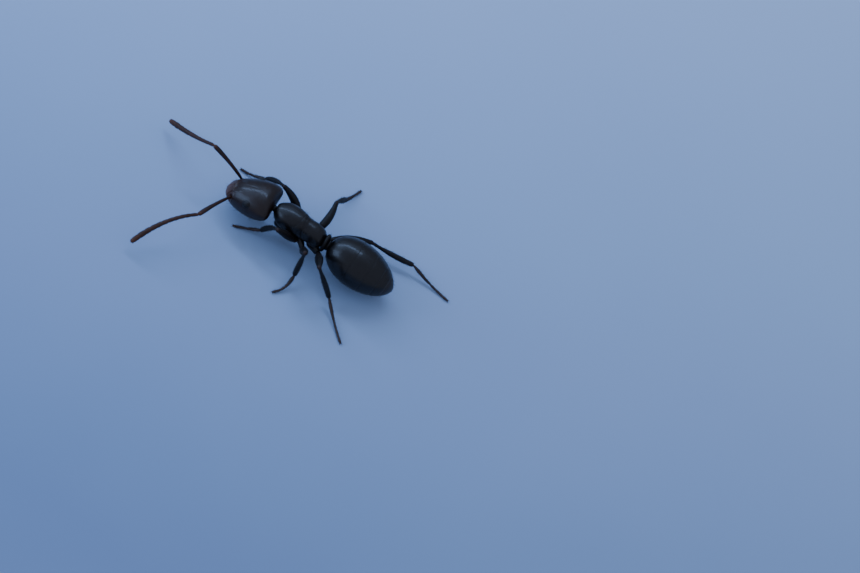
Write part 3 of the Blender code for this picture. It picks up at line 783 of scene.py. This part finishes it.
# %% [markdown]
# ## Neck and waist
# A short neck goes from the collar into the back of the head. The waist is one upright
# scale on a stalk, thin from front to back, which lets the gaster swing. The scale is an egg
# stood on end, with its crest a little notched. Its solid reaches from trunk to gaster, so
# the scale fills that box in width and height only, and the stalk takes up its length.

# %% Neck
NECK_ROOT = (2.0, 0.0, -0.06)  # inside the head: back from its front end, out, and up
NECK_REACH, NECK_Z, NECK_SAG = 0.12, 1.22, 0.03  # into the collar, its height there, its dip
NECK_STATIONS, NECK_RADII = (0, 0.5, 1), (0.15, 0.13, 0.17)
neck_end = np.array([trunk_box[0][0] + NECK_REACH, trunk_y, NECK_Z])
neck_path = parabola(from_head(NECK_ROOT), neck_end, np.array([0, 0, -NECK_SAG]), 24)
neck = limb(neck_path, NECK_STATIONS, NECK_RADII, 28)
show("neck", mesh_of("neck", [neck]), WAIST_CHITIN)

# %% Waist
SCALE_RING = 2.1
SCALE_WIDTH_EGG, SCALE_DEPTH_EGG = (0.35, 0.70), (0.42, 0.55)
SCALE_THICK, SCALE_LEAN, SCALE_NOTCH = 0.125, 0.03, 0.035
SCALE_BEFORE, SCALE_BEHIND = 0.155, 0.115  # its reach before and behind the solid's middle
STALK_Z, STALK_RISE = 1.06, 0.03
STALK_IN_TRUNK, STALK_IN_GASTER = 0.10, 0.16
STALK_STATIONS, STALK_RADII = (0, 0.3, 0.5, 0.8, 1), (0.21, 0.215, 0.215, 0.215, 0.21)
waist_box = own_box(["petiole"])
waist_x = (waist_box[0][0] + waist_box[1][0]) / 2
gaster_root = own_box(["gaster_segment_1"])[0]


def waist_scale(rows=70, columns=90):
    """An egg on end: half width and half thickness fall to nothing at its foot and crest, and
    it leans forward by the square of the height u. The notch sinks the crest's middle."""
    u = eased(rows, POLE_GAP)
    across, thick = superellipse(columns, SCALE_RING)
    y = egg(u, *SCALE_WIDTH_EGG)[:, None] * across
    x = (SCALE_THICK * egg(u, *SCALE_DEPTH_EGG))[:, None] * thick
    x = x - SCALE_LEAN * (u**2)[:, None]
    notch = SCALE_NOTCH * hump(y, 0.45) * (u**8)[:, None]
    return np.stack([x, y, u[:, None] - notch], axis=-1)


scale_box = (waist_box[0].copy(), waist_box[1].copy())
scale_box[0][0], scale_box[1][0] = waist_x - SCALE_BEFORE, waist_x + SCALE_BEHIND
scale_tube = filling(waist_scale(), scale_box)
stalk_start = np.array([trunk_box[1][0] - STALK_IN_TRUNK, trunk_y, STALK_Z])
stalk_end = np.array([gaster_root[0] + STALK_IN_GASTER, trunk_y, STALK_Z + STALK_RISE])
stalk_path = parabola(stalk_start, stalk_end, np.zeros(3), 40)
stalk = limb(stalk_path, STALK_STATIONS, STALK_RADII, 28)
name = "waist_scale"
show(name, mesh_of(name, [scale_tube, stalk]), WAIST_CHITIN, ["petiole"])

# %% [markdown]
# ## The gaster
# The gaster is covered by hoops of chitin that slide under one another like a telescope:
# each hoop's front edge is tucked under the hoop before it, and its hind edge is rolled in.
# So each hoop is drawn from a little before its own start, slightly sunk, and swells to
# full width at its hind rim. The last one is the blunt end cone. Rims are a little paler.

# %% Gaster hoops
GASTER_DROOP = -5.5  # degrees, negative because it is the tail that sinks
GASTER_TOP, GASTER_BOTTOM = 0.90, 0.80  # the back stands higher over the axis than the belly sinks
GASTER_RING = 2.08
WIDTH_EGG, ROOF_EGG, BELLY_EGG = (0.45, 0.58), (0.45, 0.62), (0.48, 0.56)
GASTER_POLES = (0.0008, 0.9988)  # shares of the length where a fan closes the ends
GASTER_NODES = [f"gaster_segment_{k}" for k in (1, 2, 3, 4)] + ["gaster_tip"]
TUCK, HOOP_SINK, SINK_OUT = 0.10, 0.020, 2.2  # the front edge is sunk, and out after 2.2 tucks
RIM_ROLL, RIM_SHARE = 0.02, 0.006  # a rim rolls in by this share, over this share of the length
SEAM_DEPTH, SEAM_AT = 0.012, -0.42  # the seam's depth in mm, and its place from middle to belly
RIM_PALE, LAST_RIM_PALE, TIP_CONE_PALE = 0.10, 0.5, 0.35
LAST_HOOPS, TIP_CONE = 0.7, 0.85  # a hoop that starts behind these shares is one of the last
gaster_box = own_box(GASTER_NODES, GASTER_DROOP)
gaster_length = gaster_box[1][0] - gaster_box[0][0]
hoop_ends = [(own_box([n], GASTER_DROOP)[1][0] - gaster_box[0][0]) / gaster_length for n in GASTER_NODES]


print("gaster", gaster_length.round(2), "mm long, its hoops end at", np.round(hoop_ends, 2))

# %% One hoop


def gaster_half(u):
    """Half width, top and bottom at the share u along the gaster, as shares of their most."""
    return egg(u, *WIDTH_EGG), egg(u, *ROOF_EGG), egg(u, *BELLY_EGG)


def hoop(name, node, start, end, columns=170, rows=64):
    """Superellipse rings from share start to share end, each as wide, high and deep as the
    gaster's egg there, shrunk a little where the front is sunk and the hind rim rolls in."""
    low = max(start - TUCK / gaster_length, GASTER_POLES[0])
    high = min(end, GASTER_POLES[1])
    u = low + (high - low) * eased(rows)
    across, up = superellipse(columns, GASTER_RING)
    wide, top, bottom = gaster_half(u)
    size = (gaster_box[1] - gaster_box[0]) / 2 - SKIN_DEPTH
    rise = 2 * size[2] * GASTER_TOP / (GASTER_TOP + GASTER_BOTTOM)
    fall = 2 * size[2] - rise
    middle_z = gaster_box[0][2] + SKIN_DEPTH + fall
    y = size[1] * wide[:, None] * across
    z = np.where(up > 0, (rise * top)[:, None], (fall * bottom)[:, None]) * up
    sunk = (start > 0) * HOOP_SINK * (1 - step_up((u - low) / (TUCK * SINK_OUT / gaster_length)))
    rolled = (end < 0.99) * RIM_ROLL * (1 - step_up((high - u) / RIM_SHARE))
    shrink = (1 - sunk / np.maximum(rise * top, 0.05) - rolled)[:, None]
    x = gaster_box[0][0] + SKIN_DEPTH + (gaster_length - 2 * SKIN_DEPTH) * u[:, None] + 0 * y
    # The side seam between back plate and belly plate runs a little below the middle.
    seam = -SEAM_DEPTH * hump(up - SEAM_AT, 0.05)[None] * step_up((u - 0.08) / 0.1)[:, None]
    tube = np.stack([x, trunk_y + y * shrink, middle_z + z * shrink], axis=-1)
    tube = tipped(raised(tube, seam + 0 * y), GASTER_DROOP)
    light = (RIM_PALE + LAST_RIM_PALE * (start > LAST_HOOPS)) * hump(high - u, 0.012)
    light = light + TIP_CONE_PALE * (start > TIP_CONE)
    show(name, mesh_of(name, [tube], [light]), GASTER_CHITIN, [node])
    return tube


# %% The five hoops
gaster_tubes = []
for k, node in enumerate(GASTER_NODES):
    name = f"gaster_hoop_{k + 1}"
    gaster_tubes.append(hoop(name, node, hoop_ends[k - 1] if k else 0.0, hoop_ends[k]))

# %% [markdown]
# ## Legs
# Each leg is a cone-shaped hip piece, a tiny ring, a spindle-shaped thigh, a slimmer shin
# with a spur, and a foot of five segments that ends in two hooked claws round a soft pad.
# All follow the joints of the solids. The solids are thicker than life, so the slender limb
# runs inside them and its claws come down to the floor. No two legs of a living ant are set
# alike: the tables below give single legs a slimmer or stouter hip, a root or a knee a
# little off the middle, and a bow. Legs that they don't name take the usual values.

# %% Leg shapes
HIP_STATIONS, HIP_RADII = (0, 0.3, 0.75, 1), (0.21, 0.21, 0.165, 0.13)
HIP_IN_TRUNK, HIP_BOW = 0.08, 0.02  # how far the root goes on into the trunk, and how it arches
RING_LENGTH, RING_RADII = 0.17, (0.06, 0.115, 0.07)
RING_BEFORE, RING_BARE = 0.05, 0.6  # it starts before the joint; from this share the thigh hides it
THIGH_STATIONS = (0, 0.06, 0.20, 0.42, 0.70, 0.90, 1)
THIGH_RADII = (0.085, 0.115, 0.150, 0.166, 0.135, 0.098, 0.092)
SHIN_STATIONS, SHIN_RADII = (0, 0.06, 0.14, 0.45, 0.80, 1), (0.060, 0.066, 0.064, 0.104, 0.108, 0.088)
KNEE_OVERLAP = {"thigh": 0.03, "shin": 0.02}
FOOT_STATIONS, FOOT_RADII = (0, 0.05, 0.45, 0.80, 1), (0.046, 0.058, 0.050, 0.046, 0.050)
FOOT_JOINTS, FOOT_PINCH = (0.52, 0.68, 0.79, 0.87), 0.24
FOOT_POINTS, FOOT_HEIGHT = 190, 0.062
SOLE_HEIGHT = 0.002  # corners of a foot's solid below this are its flat on the floor
SPUR_LENGTH, SPUR_WIDTH = {"front": 0.20, "middle": 0.15, "hind": 0.16}, 0.016
CLAW_LENGTH, CLAW_WIDTH, CLAW_SPREAD = 0.13, 0.020, 32.0
CLAW_ARCH, CLAW_TIP_HEIGHT = 0.045, 0.006
PAD_RADIUS, PAD_ROOT_RADIUS, PAD_REACH = 0.036, 0.026, 0.07

# %% What single legs have of their own
HIP_GIRTH = {("front", "left"): 0.92, ("middle", "left"): 0.72, ("hind", "right"): 1.2}
HIP_SHIFT = {
    ("front", "left"): (-0.10, 0.01, 0.0),
    ("middle", "left"): (0.12, 0.03, 0.0),
    ("hind", "left"): (0.11, 0.13, 0.0),
}
KNEE_SHIFT = {("middle", "right"): (0.115, -0.02, -0.015), ("hind", "right"): (0.0, -0.10, -0.08)}
THIGH_BOW = {
    ("front", "right"): (0.02, 0.085, 0.065),
    ("middle", "right"): (0.11, -0.03, -0.04),
    ("hind", "right"): (0.0, 0.09, 0.07),
}
SHIN_BOW = {
    ("front", "left"): (0.0, 0.08, 0.05),
    ("front", "right"): (0.0, 0.05, 0.06),
    ("hind", "right"): (0.03, -0.03, -0.02),
}
FOOT_BOW = {("front", "left"): (0.0, 0.05, 0.0), ("middle", "left"): (0.12, -0.045, 0.0)}
USUAL_BOW = (0.0, 0.0, 0.03)  # thighs and shins arch a little upwards
UP = np.array([0, 0, 1.0])
leg_tubes = {}


def unit(vector):
    """The vector at length 1."""
    return vector / np.linalg.norm(vector)


def own_vector(table, which, usual=(0.0, 0.0, 0.0)):
    """A leg's own vector from a table, or the usual one."""
    return np.array(table.get(which, usual))


# %% Hip and thigh


def hip_and_thigh(which, tag, hip, knee):
    """A hip piece from inside the trunk to the hip joint, a ring on the joint, and a spindle
    from the ring to the knee, its middle standing off the chord by the leg's bow."""
    girth = HIP_GIRTH.get(which, 1.0)
    root = far_end(hip, ["coxa" + tag])
    root = root + HIP_IN_TRUNK * unit(root - hip) + own_vector(HIP_SHIFT, which)
    coxa = limb(parabola(root, hip, HIP_BOW * UP, 34), HIP_STATIONS, girth * np.array(HIP_RADII), 30)
    name = "hip" + tag
    show(name, mesh_of(name, [coxa]), TRUNK_CHITIN, ["coxa" + tag])
    way = unit(knee - hip)
    path = parabola(hip - RING_BEFORE * way, hip + RING_LENGTH * way, 0 * UP, 24)
    ring = limb(path, (0, 0.5, 1), girth * np.array(RING_RADII), 24)
    bow = own_vector(THIGH_BOW, which, USUAL_BOW)
    thigh_start = hip + RING_BARE * RING_LENGTH * way
    path = parabola(thigh_start, knee + KNEE_OVERLAP["thigh"] * way, bow, 64)
    thigh = limb(path, THIGH_STATIONS, THIGH_RADII, 30)
    light = [pale_ends(share_along(path), 0.2, 0.35), np.full(len(ring), 0.35)]
    name = "thigh" + tag
    show(name, mesh_of(name, [thigh, ring], light), LEG_CHITIN, ["femur" + tag])
    return coxa, thigh


# %% Shin and spur


def shin_and_spur(which, tag, knee, ankle, foot_way):
    """A tube from knee to ankle that is widest low down, and a bent spine beside the ankle
    that points halfway between shin and foot."""
    way = unit(ankle - knee)
    bow = own_vector(SHIN_BOW, which, USUAL_BOW)
    path = parabola(knee - KNEE_OVERLAP["shin"] * way, ankle, bow, 60)
    shin = limb(path, SHIN_STATIONS, SHIN_RADII, 28)
    spur_tip = ankle + SPUR_LENGTH[which[0]] * unit(foot_way + way - 0.6 * UP)
    spur = cone(ankle - 0.06 * way - 0.05 * UP, spur_tip - 0.03 * UP, SPUR_WIDTH, 0.02 * way)
    light = [pale_ends(share_along(path), 0.3, 0.3, start_width=0.06), np.full(len(spur), 0.6)]
    name = "shin" + tag
    show(name, mesh_of(name, [shin, spur], light), LEG_CHITIN, ["tibia" + tag])
    return shin


# %% Foot and claws


def foot_and_claws(which, tag, ankle, foot, foot_way):
    """A jointed tube that comes down to the floor as (1 - t)^2, two arched spines that part
    by twice the spread, and a round pad between them."""
    end = np.array([foot[0], foot[1], FOOT_HEIGHT])
    t = np.linspace(0, 1, FOOT_POINTS)
    path = bent(ankle, end, own_vector(FOOT_BOW, which), t)
    path[:, 2] = end[2] + (ankle[2] - end[2]) * (1 - t) ** 2
    radius = smooth_through(t, FOOT_STATIONS, FOOT_RADII) * jointed(t, FOOT_JOINTS, FOOT_PINCH)
    tarsus = swept(path, domed(t, np.linalg.norm(end - ankle), radius), 20)
    across, turn = np.cross(foot_way, UP), math.radians(CLAW_SPREAD)
    behind = end - 0.01 * foot_way
    claws = []
    for way in (-1, 1):
        tip = end + CLAW_LENGTH * (math.cos(turn) * foot_way + way * math.sin(turn) * across)
        tip[2] = CLAW_TIP_HEIGHT
        claws.append(cone(behind, tip, CLAW_WIDTH, CLAW_ARCH * UP, 10))
    pad_end = np.array([*(end + PAD_REACH * foot_way)[:2], PAD_RADIUS])
    pad_path = parabola(behind - 0.010 * UP, pad_end, 0 * UP, 16)
    pad = limb(pad_path, (0, 0.6, 1), (PAD_ROOT_RADIUS, PAD_RADIUS, PAD_RADIUS), 16)
    light = [0.15 + 0.35 * hump(t, 0.04) + 0.3 * step_up((t - 0.5) / 0.5), np.full(len(pad), 0.9)]
    light += [np.full(len(claw), 0.1) for claw in claws]
    name = "foot" + tag
    show(name, mesh_of(name, [tarsus, pad, *claws], light), FOOT_CHITIN, ["tarsus" + tag])
    return tarsus


# %% The six legs


def leg(which):
    """One leg from the joints between its solids; its foot ends over the solid's flat."""
    tag = "_{}_{}".format(*which)
    hip = meeting("coxa" + tag, "femur" + tag)
    knee = meeting("femur" + tag, "tibia" + tag) + own_vector(KNEE_SHIFT, which)
    ankle = meeting("tibia" + tag, "tarsus" + tag)
    sole = node_points("tarsus" + tag)
    foot = sole[sole[:, 2] < SOLE_HEIGHT].mean(0)
    foot_way = unit((foot - ankle) * [1, 1, 0])
    coxa, thigh = hip_and_thigh(which, tag, hip, knee)
    shin = shin_and_spur(which, tag, knee, ankle, foot_way)
    tarsus = foot_and_claws(which, tag, ankle, foot, foot_way)
    leg_tubes[which] = (coxa, thigh, shin, tarsus)


for pair in PAIRS:
    for side in SIDES:
        leg((pair, side))
print("legs:", len(leg_tubes))

# %% [markdown]
# ## Bristles
# The ant looks bare, but it wears a thin coat: a few long bristles that stand up on its
# plates, and short hairs that lie along limbs and feelers. Each bristle is a bent three-sided
# spine of ten corners. All bristles of one plate are one mesh, made from arrays, and each
# has its own small patch on a map of the plate, as a baker of textures needs.

# %% Bristle coats
PATCH = 0.003  # a bristle's patch, as a share of the map
LENGTH_SPREAD, SKEW = (0.6, 1.15), 0.18  # how lengths and directions vary
RINGS_AT, TAPER = (0.0, 0.4, 0.75, 1.0), 0.55
ROOT_SINK = 0.004  # mm that a root is sunk, so that no gap shows under it


def scatter(tube, count, rng, patch, bare=None):
    """Random roots spread evenly by area over a tube, less where it is bare: place, normal,
    way along, and the place on the map, where rows run up and columns run across the patch
    (u0, v0, u1, v1)."""
    normal = normals_of(tube)
    along = np.gradient(tube, axis=0)
    around = np.roll(tube, -1, axis=1) - tube
    area = np.linalg.norm(np.cross(along, around), axis=2)
    if bare is not None:
        area = area * (1 - bare)
    rows, columns = area.shape
    cell = rng.choice(area.size, size=count, p=(area / area.sum()).ravel())
    row, column = cell // columns, cell % columns
    across, up = rng.random(count), rng.random(count)
    root = tube[row, column] + across[:, None] * around[row, column]
    way = along[row, column]
    way = way / np.maximum(np.linalg.norm(way, axis=1, keepdims=True), 1e-9)
    u = patch[0] + (patch[2] - patch[0]) * (column + across) / columns
    v = patch[1] + (patch[3] - patch[1]) * (row + up * 0.5) / rows
    return root, normal[row, column], way, np.stack([u, v], axis=1)


# %% The form of a bristle


def bristles(roots, length, width, lean, bend, rng):
    """Corners of every bristle: three rings of three and a tip, N x 10 x 3, and their places
    on the map. Its middle is p(t) = root - sink normal + length (t direction + bend t^2 way),
    and the ring's radius is width / 2 (1 - taper t)."""
    root, normal, way, place = roots
    count = len(root)
    size = length * rng.uniform(*LENGTH_SPREAD, count)[:, None]
    skew = rng.normal(0, SKEW, (count, 3))
    direction = normal * math.cos(math.radians(lean)) + way * math.sin(math.radians(lean)) + skew
    direction /= np.linalg.norm(direction, axis=1, keepdims=True)
    t = np.array(RINGS_AT)
    middle = root[:, None] - ROOT_SINK * normal[:, None] + size[:, None] * (
        t[None, :, None] * direction[:, None] + bend * (t**2)[None, :, None] * way[:, None]
    )
    first = np.cross(direction, way)
    first /= np.maximum(np.linalg.norm(first, axis=1, keepdims=True), 1e-9)
    second = np.cross(direction, first)
    angle = np.array([0, 2, 4]) * np.pi / 3
    ring = np.cos(angle)[None, :, None] * first[:, None] + np.sin(angle)[None, :, None] * second[:, None]
    radius = width / 2 * (1 - TAPER * t[:3])
    rings = middle[:, :3, None] + radius[None, :, None, None] * ring[:, None]
    corners = np.concatenate([rings.reshape(count, 9, 3), middle[:, 3:]], axis=1)
    spread = PATCH / 2 * np.stack([np.cos(angle), np.sin(angle)], axis=1)
    flat = np.concatenate([np.tile(spread, (3, 1)) * np.repeat([1, 0.8, 0.5], 3)[:, None], [[0, 0]]])
    return corners, place[:, None] + flat[None]


# %% From bristles to a coat


def coat(name, layers):
    """One mesh of bristles from layers, each ((tube, count, patch, bare), length and width in
    mm, lean from upright in degrees, bend). A bristle that would dip into the floor is left out."""
    rng = np.random.default_rng(sum(map(ord, name)))
    made = [bristles(scatter(*layer[0][:2], rng, *layer[0][2:]), *layer[1:], rng) for layer in layers]
    corners = np.concatenate([m[0] for m in made])
    places = np.concatenate([m[1] for m in made])
    above_floor = corners[:, :, 2].min(axis=1) > 0
    corners, places = corners[above_floor], places[above_floor].reshape(-1, 2)
    first = 10 * np.arange(len(corners))[:, None, None]
    sides = np.array([[a, b, b + 3, a + 3] for a, b in ((0, 1), (1, 2), (2, 0), (3, 4), (4, 5), (5, 3))])
    ends = np.array([[6, 7, 9], [7, 8, 9], [8, 6, 9], [2, 1, 0]])
    own = corners[0] - corners[0].mean(0)
    if inside_out(own, sides):
        sides, ends = sides[:, ::-1], ends[:, ::-1]
    faces = (sides + first).reshape(-1, 4).tolist() + (ends + first).reshape(-1, 3).tolist()
    mesh = bpy.data.meshes.new(name)
    mesh.from_pydata((corners.reshape(-1, 3) * MM).tolist(), [], faces)
    mesh.shade_smooth()
    corner_of = np.empty(len(mesh.loops), np.int32)
    mesh.loops.foreach_get("vertex_index", corner_of)
    layer = mesh.uv_layers.new(name="OFBake")
    layer.data.foreach_set("uv", places[corner_of].astype(np.float32).ravel())
    return show(name, mesh, BRISTLE)


# %% Coats of the plates
# Each layer has its roots (tube, count, patch of the map, share left bare), then length and
# width in mm, lean in degrees and bend. Long ones stand up, and short ones lie along the plate.
MAP_MARGIN, BAND_FILL = 0.01, 0.96  # what keeps patches off the map's border and each other
MAP_SPAN = 1 - 2 * MAP_MARGIN
WHOLE = (MAP_MARGIN, MAP_MARGIN, 1 - MAP_MARGIN, 1 - MAP_MARGIN)
BARE_ROUND_EYE = 0.22
forward = head_tube[::-1]  # hairs of the head lie towards its front
eyes_at = [node_points("eye_" + side).mean(0) for side in SIDES]
on_eye = sum(hump(np.linalg.norm(forward - at, axis=2), BARE_ROUND_EYE) for at in eyes_at)
bare = np.clip(on_eye * 2, 0, 1)
coat("bristles_head", [
    ((forward, 160, WHOLE, bare), 0.16, 0.008, 20, 0.35),
    ((forward, 1200, WHOLE, bare), 0.045, 0.0045, 76, 0.08),
])


def band(k, count):
    """The k-th of count upright bands of a map."""
    low = MAP_MARGIN + MAP_SPAN * k / count
    return (WHOLE[0], low, WHOLE[2], MAP_MARGIN + MAP_SPAN * (k + BAND_FILL) / count)


layers = []
for k, tube in enumerate(trunk_tubes):
    layers.append(((tube, 70, band(k, 3)), 0.15, 0.008, 18, 0.30))
    layers.append(((tube, 320, band(k, 3)), 0.045, 0.005, 72, 0.10))
coat("bristles_trunk", layers)
coat("bristles_waist", [((scale_tube, 60, WHOLE), 0.11, 0.009, 15, 0.1)])
layers = []
for k, tube in enumerate(gaster_tubes):
    share = hoop_ends[k] - (hoop_ends[k - 1] if k else 0)
    layers.append(((tube, int(20 + 160 * share), band(k, 5)), 0.15, 0.006, 40, 0.40))
    layers.append(((tube, int(150 + 2000 * share), band(k, 5)), 0.05, 0.0045, 78, 0.06))
coat("bristles_gaster", layers)

# %% Coats of the limbs
for side, (scape, whip) in feeler_tubes.items():
    coat("bristles_feeler_" + side, [
        ((scape, 320, band(0, 2)), 0.050, 0.006, 55, 0.25),
        ((whip, 1500, band(1, 2)), 0.045, 0.006, 50, 0.25),
    ])
for (pair, side), (coxa, thigh, shin, tarsus) in leg_tubes.items():
    coat(f"bristles_{pair}_{side}", [
        ((coxa, 40, band(0, 4)), 0.09, 0.008, 30, 0.2),
        ((thigh, 230, band(1, 4)), 0.060, 0.007, 55, 0.20),
        ((shin, 330, band(2, 4)), 0.070, 0.007, 48, 0.25),
        ((tarsus, 420, band(3, 4)), 0.060, 0.007, 45, 0.25),
    ])

# %% [markdown]
# ## Floor, light and camera
# The ant stands on a plain pale floor, painted blue-grey. Its colour grows a little paler to
# one side: that is painted light, the fall-off of the light across the floor put into the
# paint. The light is that of open shade. A wide bluish sky, darker towards the far horizon,
# gives most of it, which no single lamp could do without a hard shadow. Three panels add to
# it: a narrow tilted strip and a soft panel high behind the ant lay long highlights along
# head and gaster, and a lower one to the left lightens the near sides. The camera looks down
# at 52 degrees from the ant's left side through a long lens, rolled so that the ant walks up
# to the left.

# %% Floor
FLOOR_RADIUS = 0.30  # metres, as all that Blender is given
FLOOR_LIGHT_FALLOFF = (-1.7, 22.6, 0.0)  # painted light fall-off: share of the paler colour gained for each metre along x and y
FLOOR_LEVEL = 0.34
CLOUD_MM, CLOUD_SHARE = 9.0, 0.10


def disc(radius, columns=96):
    """A flat disc at z = 0 as one fan."""
    angle = np.linspace(0, 2 * np.pi, columns, endpoint=False)
    rim = np.stack([radius * np.cos(angle), radius * np.sin(angle), 0 * angle], axis=1)
    mesh = bpy.data.meshes.new("floor")
    mesh.from_pydata(rim.tolist(), [], [list(range(columns))])
    return mesh


floor = bpy.data.objects.new("floor", disc(FLOOR_RADIUS))
bpy.context.scene.collection.objects.link(floor)
# Matt paint has hardly a shine of its own, so light and shadow fall on it softly.
paint, tree = new_material("pale_matt_paint_and_painted_light_falloff")
where = add(tree, "TexCoord").outputs["Object"]
cloud = add(tree, "TexNoise", Vector=where, Scale=1 / (CLOUD_MM * MM), Detail=2.0).outputs["Fac"]
# The slope is painted light: it makes the paint paler towards the far side of the floor, under the panels,
# as the light's fall-off would. The cloud is the paint's own random tone.
slope = add(tree, "VectorMath", {"operation": "DOT_PRODUCT"}, _0=where, _1=FLOOR_LIGHT_FALLOFF).outputs["Value"]
cloud_and_light_falloff = add(tree, "Math", {"operation": "MULTIPLY_ADD"}, _0=cloud, _1=CLOUD_SHARE, _2=slope)
share = add(
    tree, "Math", {"operation": "ADD", "use_clamp": True}, _0=cloud_and_light_falloff.outputs["Value"], _1=FLOOR_LEVEL,
)
tint = add(
    tree, "Mix", {"data_type": "RGBA"}, _0=share.outputs["Value"],
    _6=colour("#7C93B7"), _7=colour("#B2C8E4"),
)
shader = add(tree, "BsdfPrincipled", Base_Color=tint.outputs[2], Roughness=0.75, IOR=1.45)
add(tree, "OutputMaterial", Surface=shader.outputs["BSDF"])
floor.data.materials.append(paint)

# %% Camera
CAMERA_RISE, CAMERA_ROLL = 52.0, 32.6  # degrees
VIEW_WIDTH = 34.4  # mm of the subject across the frame
CAMERA_AWAY, SENSOR = 700.0, 36.0  # mm
CLIP_NEAR, CLIP_FAR = 0.01, 2.0  # metres
AIM_FROM_WAIST = (4.425, 1.884)  # mm along x and y to what stands in the frame's middle
rise, roll = math.radians(CAMERA_RISE), math.radians(CAMERA_ROLL)
look = np.array([0, math.cos(rise), -math.sin(rise)])
upward = np.array([0, math.sin(rise), math.cos(rise)])
right = math.cos(roll) * np.array([1.0, 0, 0]) + math.sin(roll) * upward
top = np.cross(right, look)
aim = np.array([waist_x + AIM_FROM_WAIST[0], trunk_y + AIM_FROM_WAIST[1], 0])
lens = bpy.data.cameras.new("camera")
lens.sensor_width = SENSOR
lens.lens = SENSOR * CAMERA_AWAY / VIEW_WIDTH
lens.clip_start, lens.clip_end = CLIP_NEAR, CLIP_FAR
camera = bpy.data.objects.new("camera", lens)
bpy.context.scene.collection.objects.link(camera)


def stand(obj, across, over, back, place):
    """Puts a camera or lamp at a place in mm, looking against back with over pointing up."""
    axes = np.stack([across, over, back, place * MM], axis=1)
    obj.matrix_world = Matrix([*axes.tolist(), [0, 0, 0, 1]])


stand(camera, right, top, -look, aim - look * CAMERA_AWAY)
bpy.context.scene.camera = camera
print("camera aims at", aim.round(2), "mm")

# %% Sky
SKY_OPEN_WAY, SKY_EDGE = (0.0, -0.5, 1.0), 0.45  # the sky darkens towards the far horizon
SKY_DARK, SKY_BRIGHT = 0.20, 0.79  # its strength there, and where it is open
world = bpy.data.worlds.new("open_shade")
world.use_nodes = True
sky = world.node_tree.nodes["Background"]
sky.inputs["Color"].default_value = colour("#C3D2F4")
generated = add(world.node_tree, "TexCoord").outputs["Generated"]
openness = add(world.node_tree, "VectorMath", {"operation": "DOT_PRODUCT"}, _0=generated, _1=SKY_OPEN_WAY)
brightness = add(
    world.node_tree, "MapRange", Value=openness.outputs["Value"],
    From_Min=-SKY_EDGE, From_Max=SKY_EDGE, To_Min=SKY_DARK, To_Max=SKY_BRIGHT,
)
world.node_tree.links.new(brightness.outputs["Result"], sky.inputs["Strength"])
bpy.context.scene.world = world
print("sky:", world.name)

# %% Panels
PANELS = {
    # (across the frame, up it, towards the camera) and size in mm, twist in degrees, watts
    "panel_strip": ((4.0, 60.0, 17.0), (84.0, 6.0), -31.0, 0.024),
    "panel_soft": ((-46.0, 78.0, 34.0), (70.0, 60.0), 0.0, 0.014),
    "panel_low": ((-75.0, 45.0, 48.0), (56.0, 44.0), 0.0, 0.040),
}
AIM_Z = 1.0  # mm above the floor that the panels aim at
ant_middle = np.array([waist_x, trunk_y, AIM_Z])
for name, (place, size, twist, watts) in PANELS.items():
    panel = bpy.data.lights.new(name, "AREA")
    panel.shape = "RECTANGLE"
    panel.size, panel.size_y = size[0] * MM, size[1] * MM
    panel.energy = watts
    panel.color = colour("#A6C8FF")[:3]
    lamp = bpy.data.objects.new(name, panel)
    bpy.context.scene.collection.objects.link(lamp)
    offset = place[0] * right + place[1] * top - place[2] * look
    back = unit(offset)
    level, turn = unit(np.cross(top, back)), math.radians(twist)
    sideways = math.cos(turn) * level + math.sin(turn) * np.cross(back, level)
    stand(lamp, sideways, np.cross(back, sideways), back, ant_middle + offset)
    print(name, watts, "W")
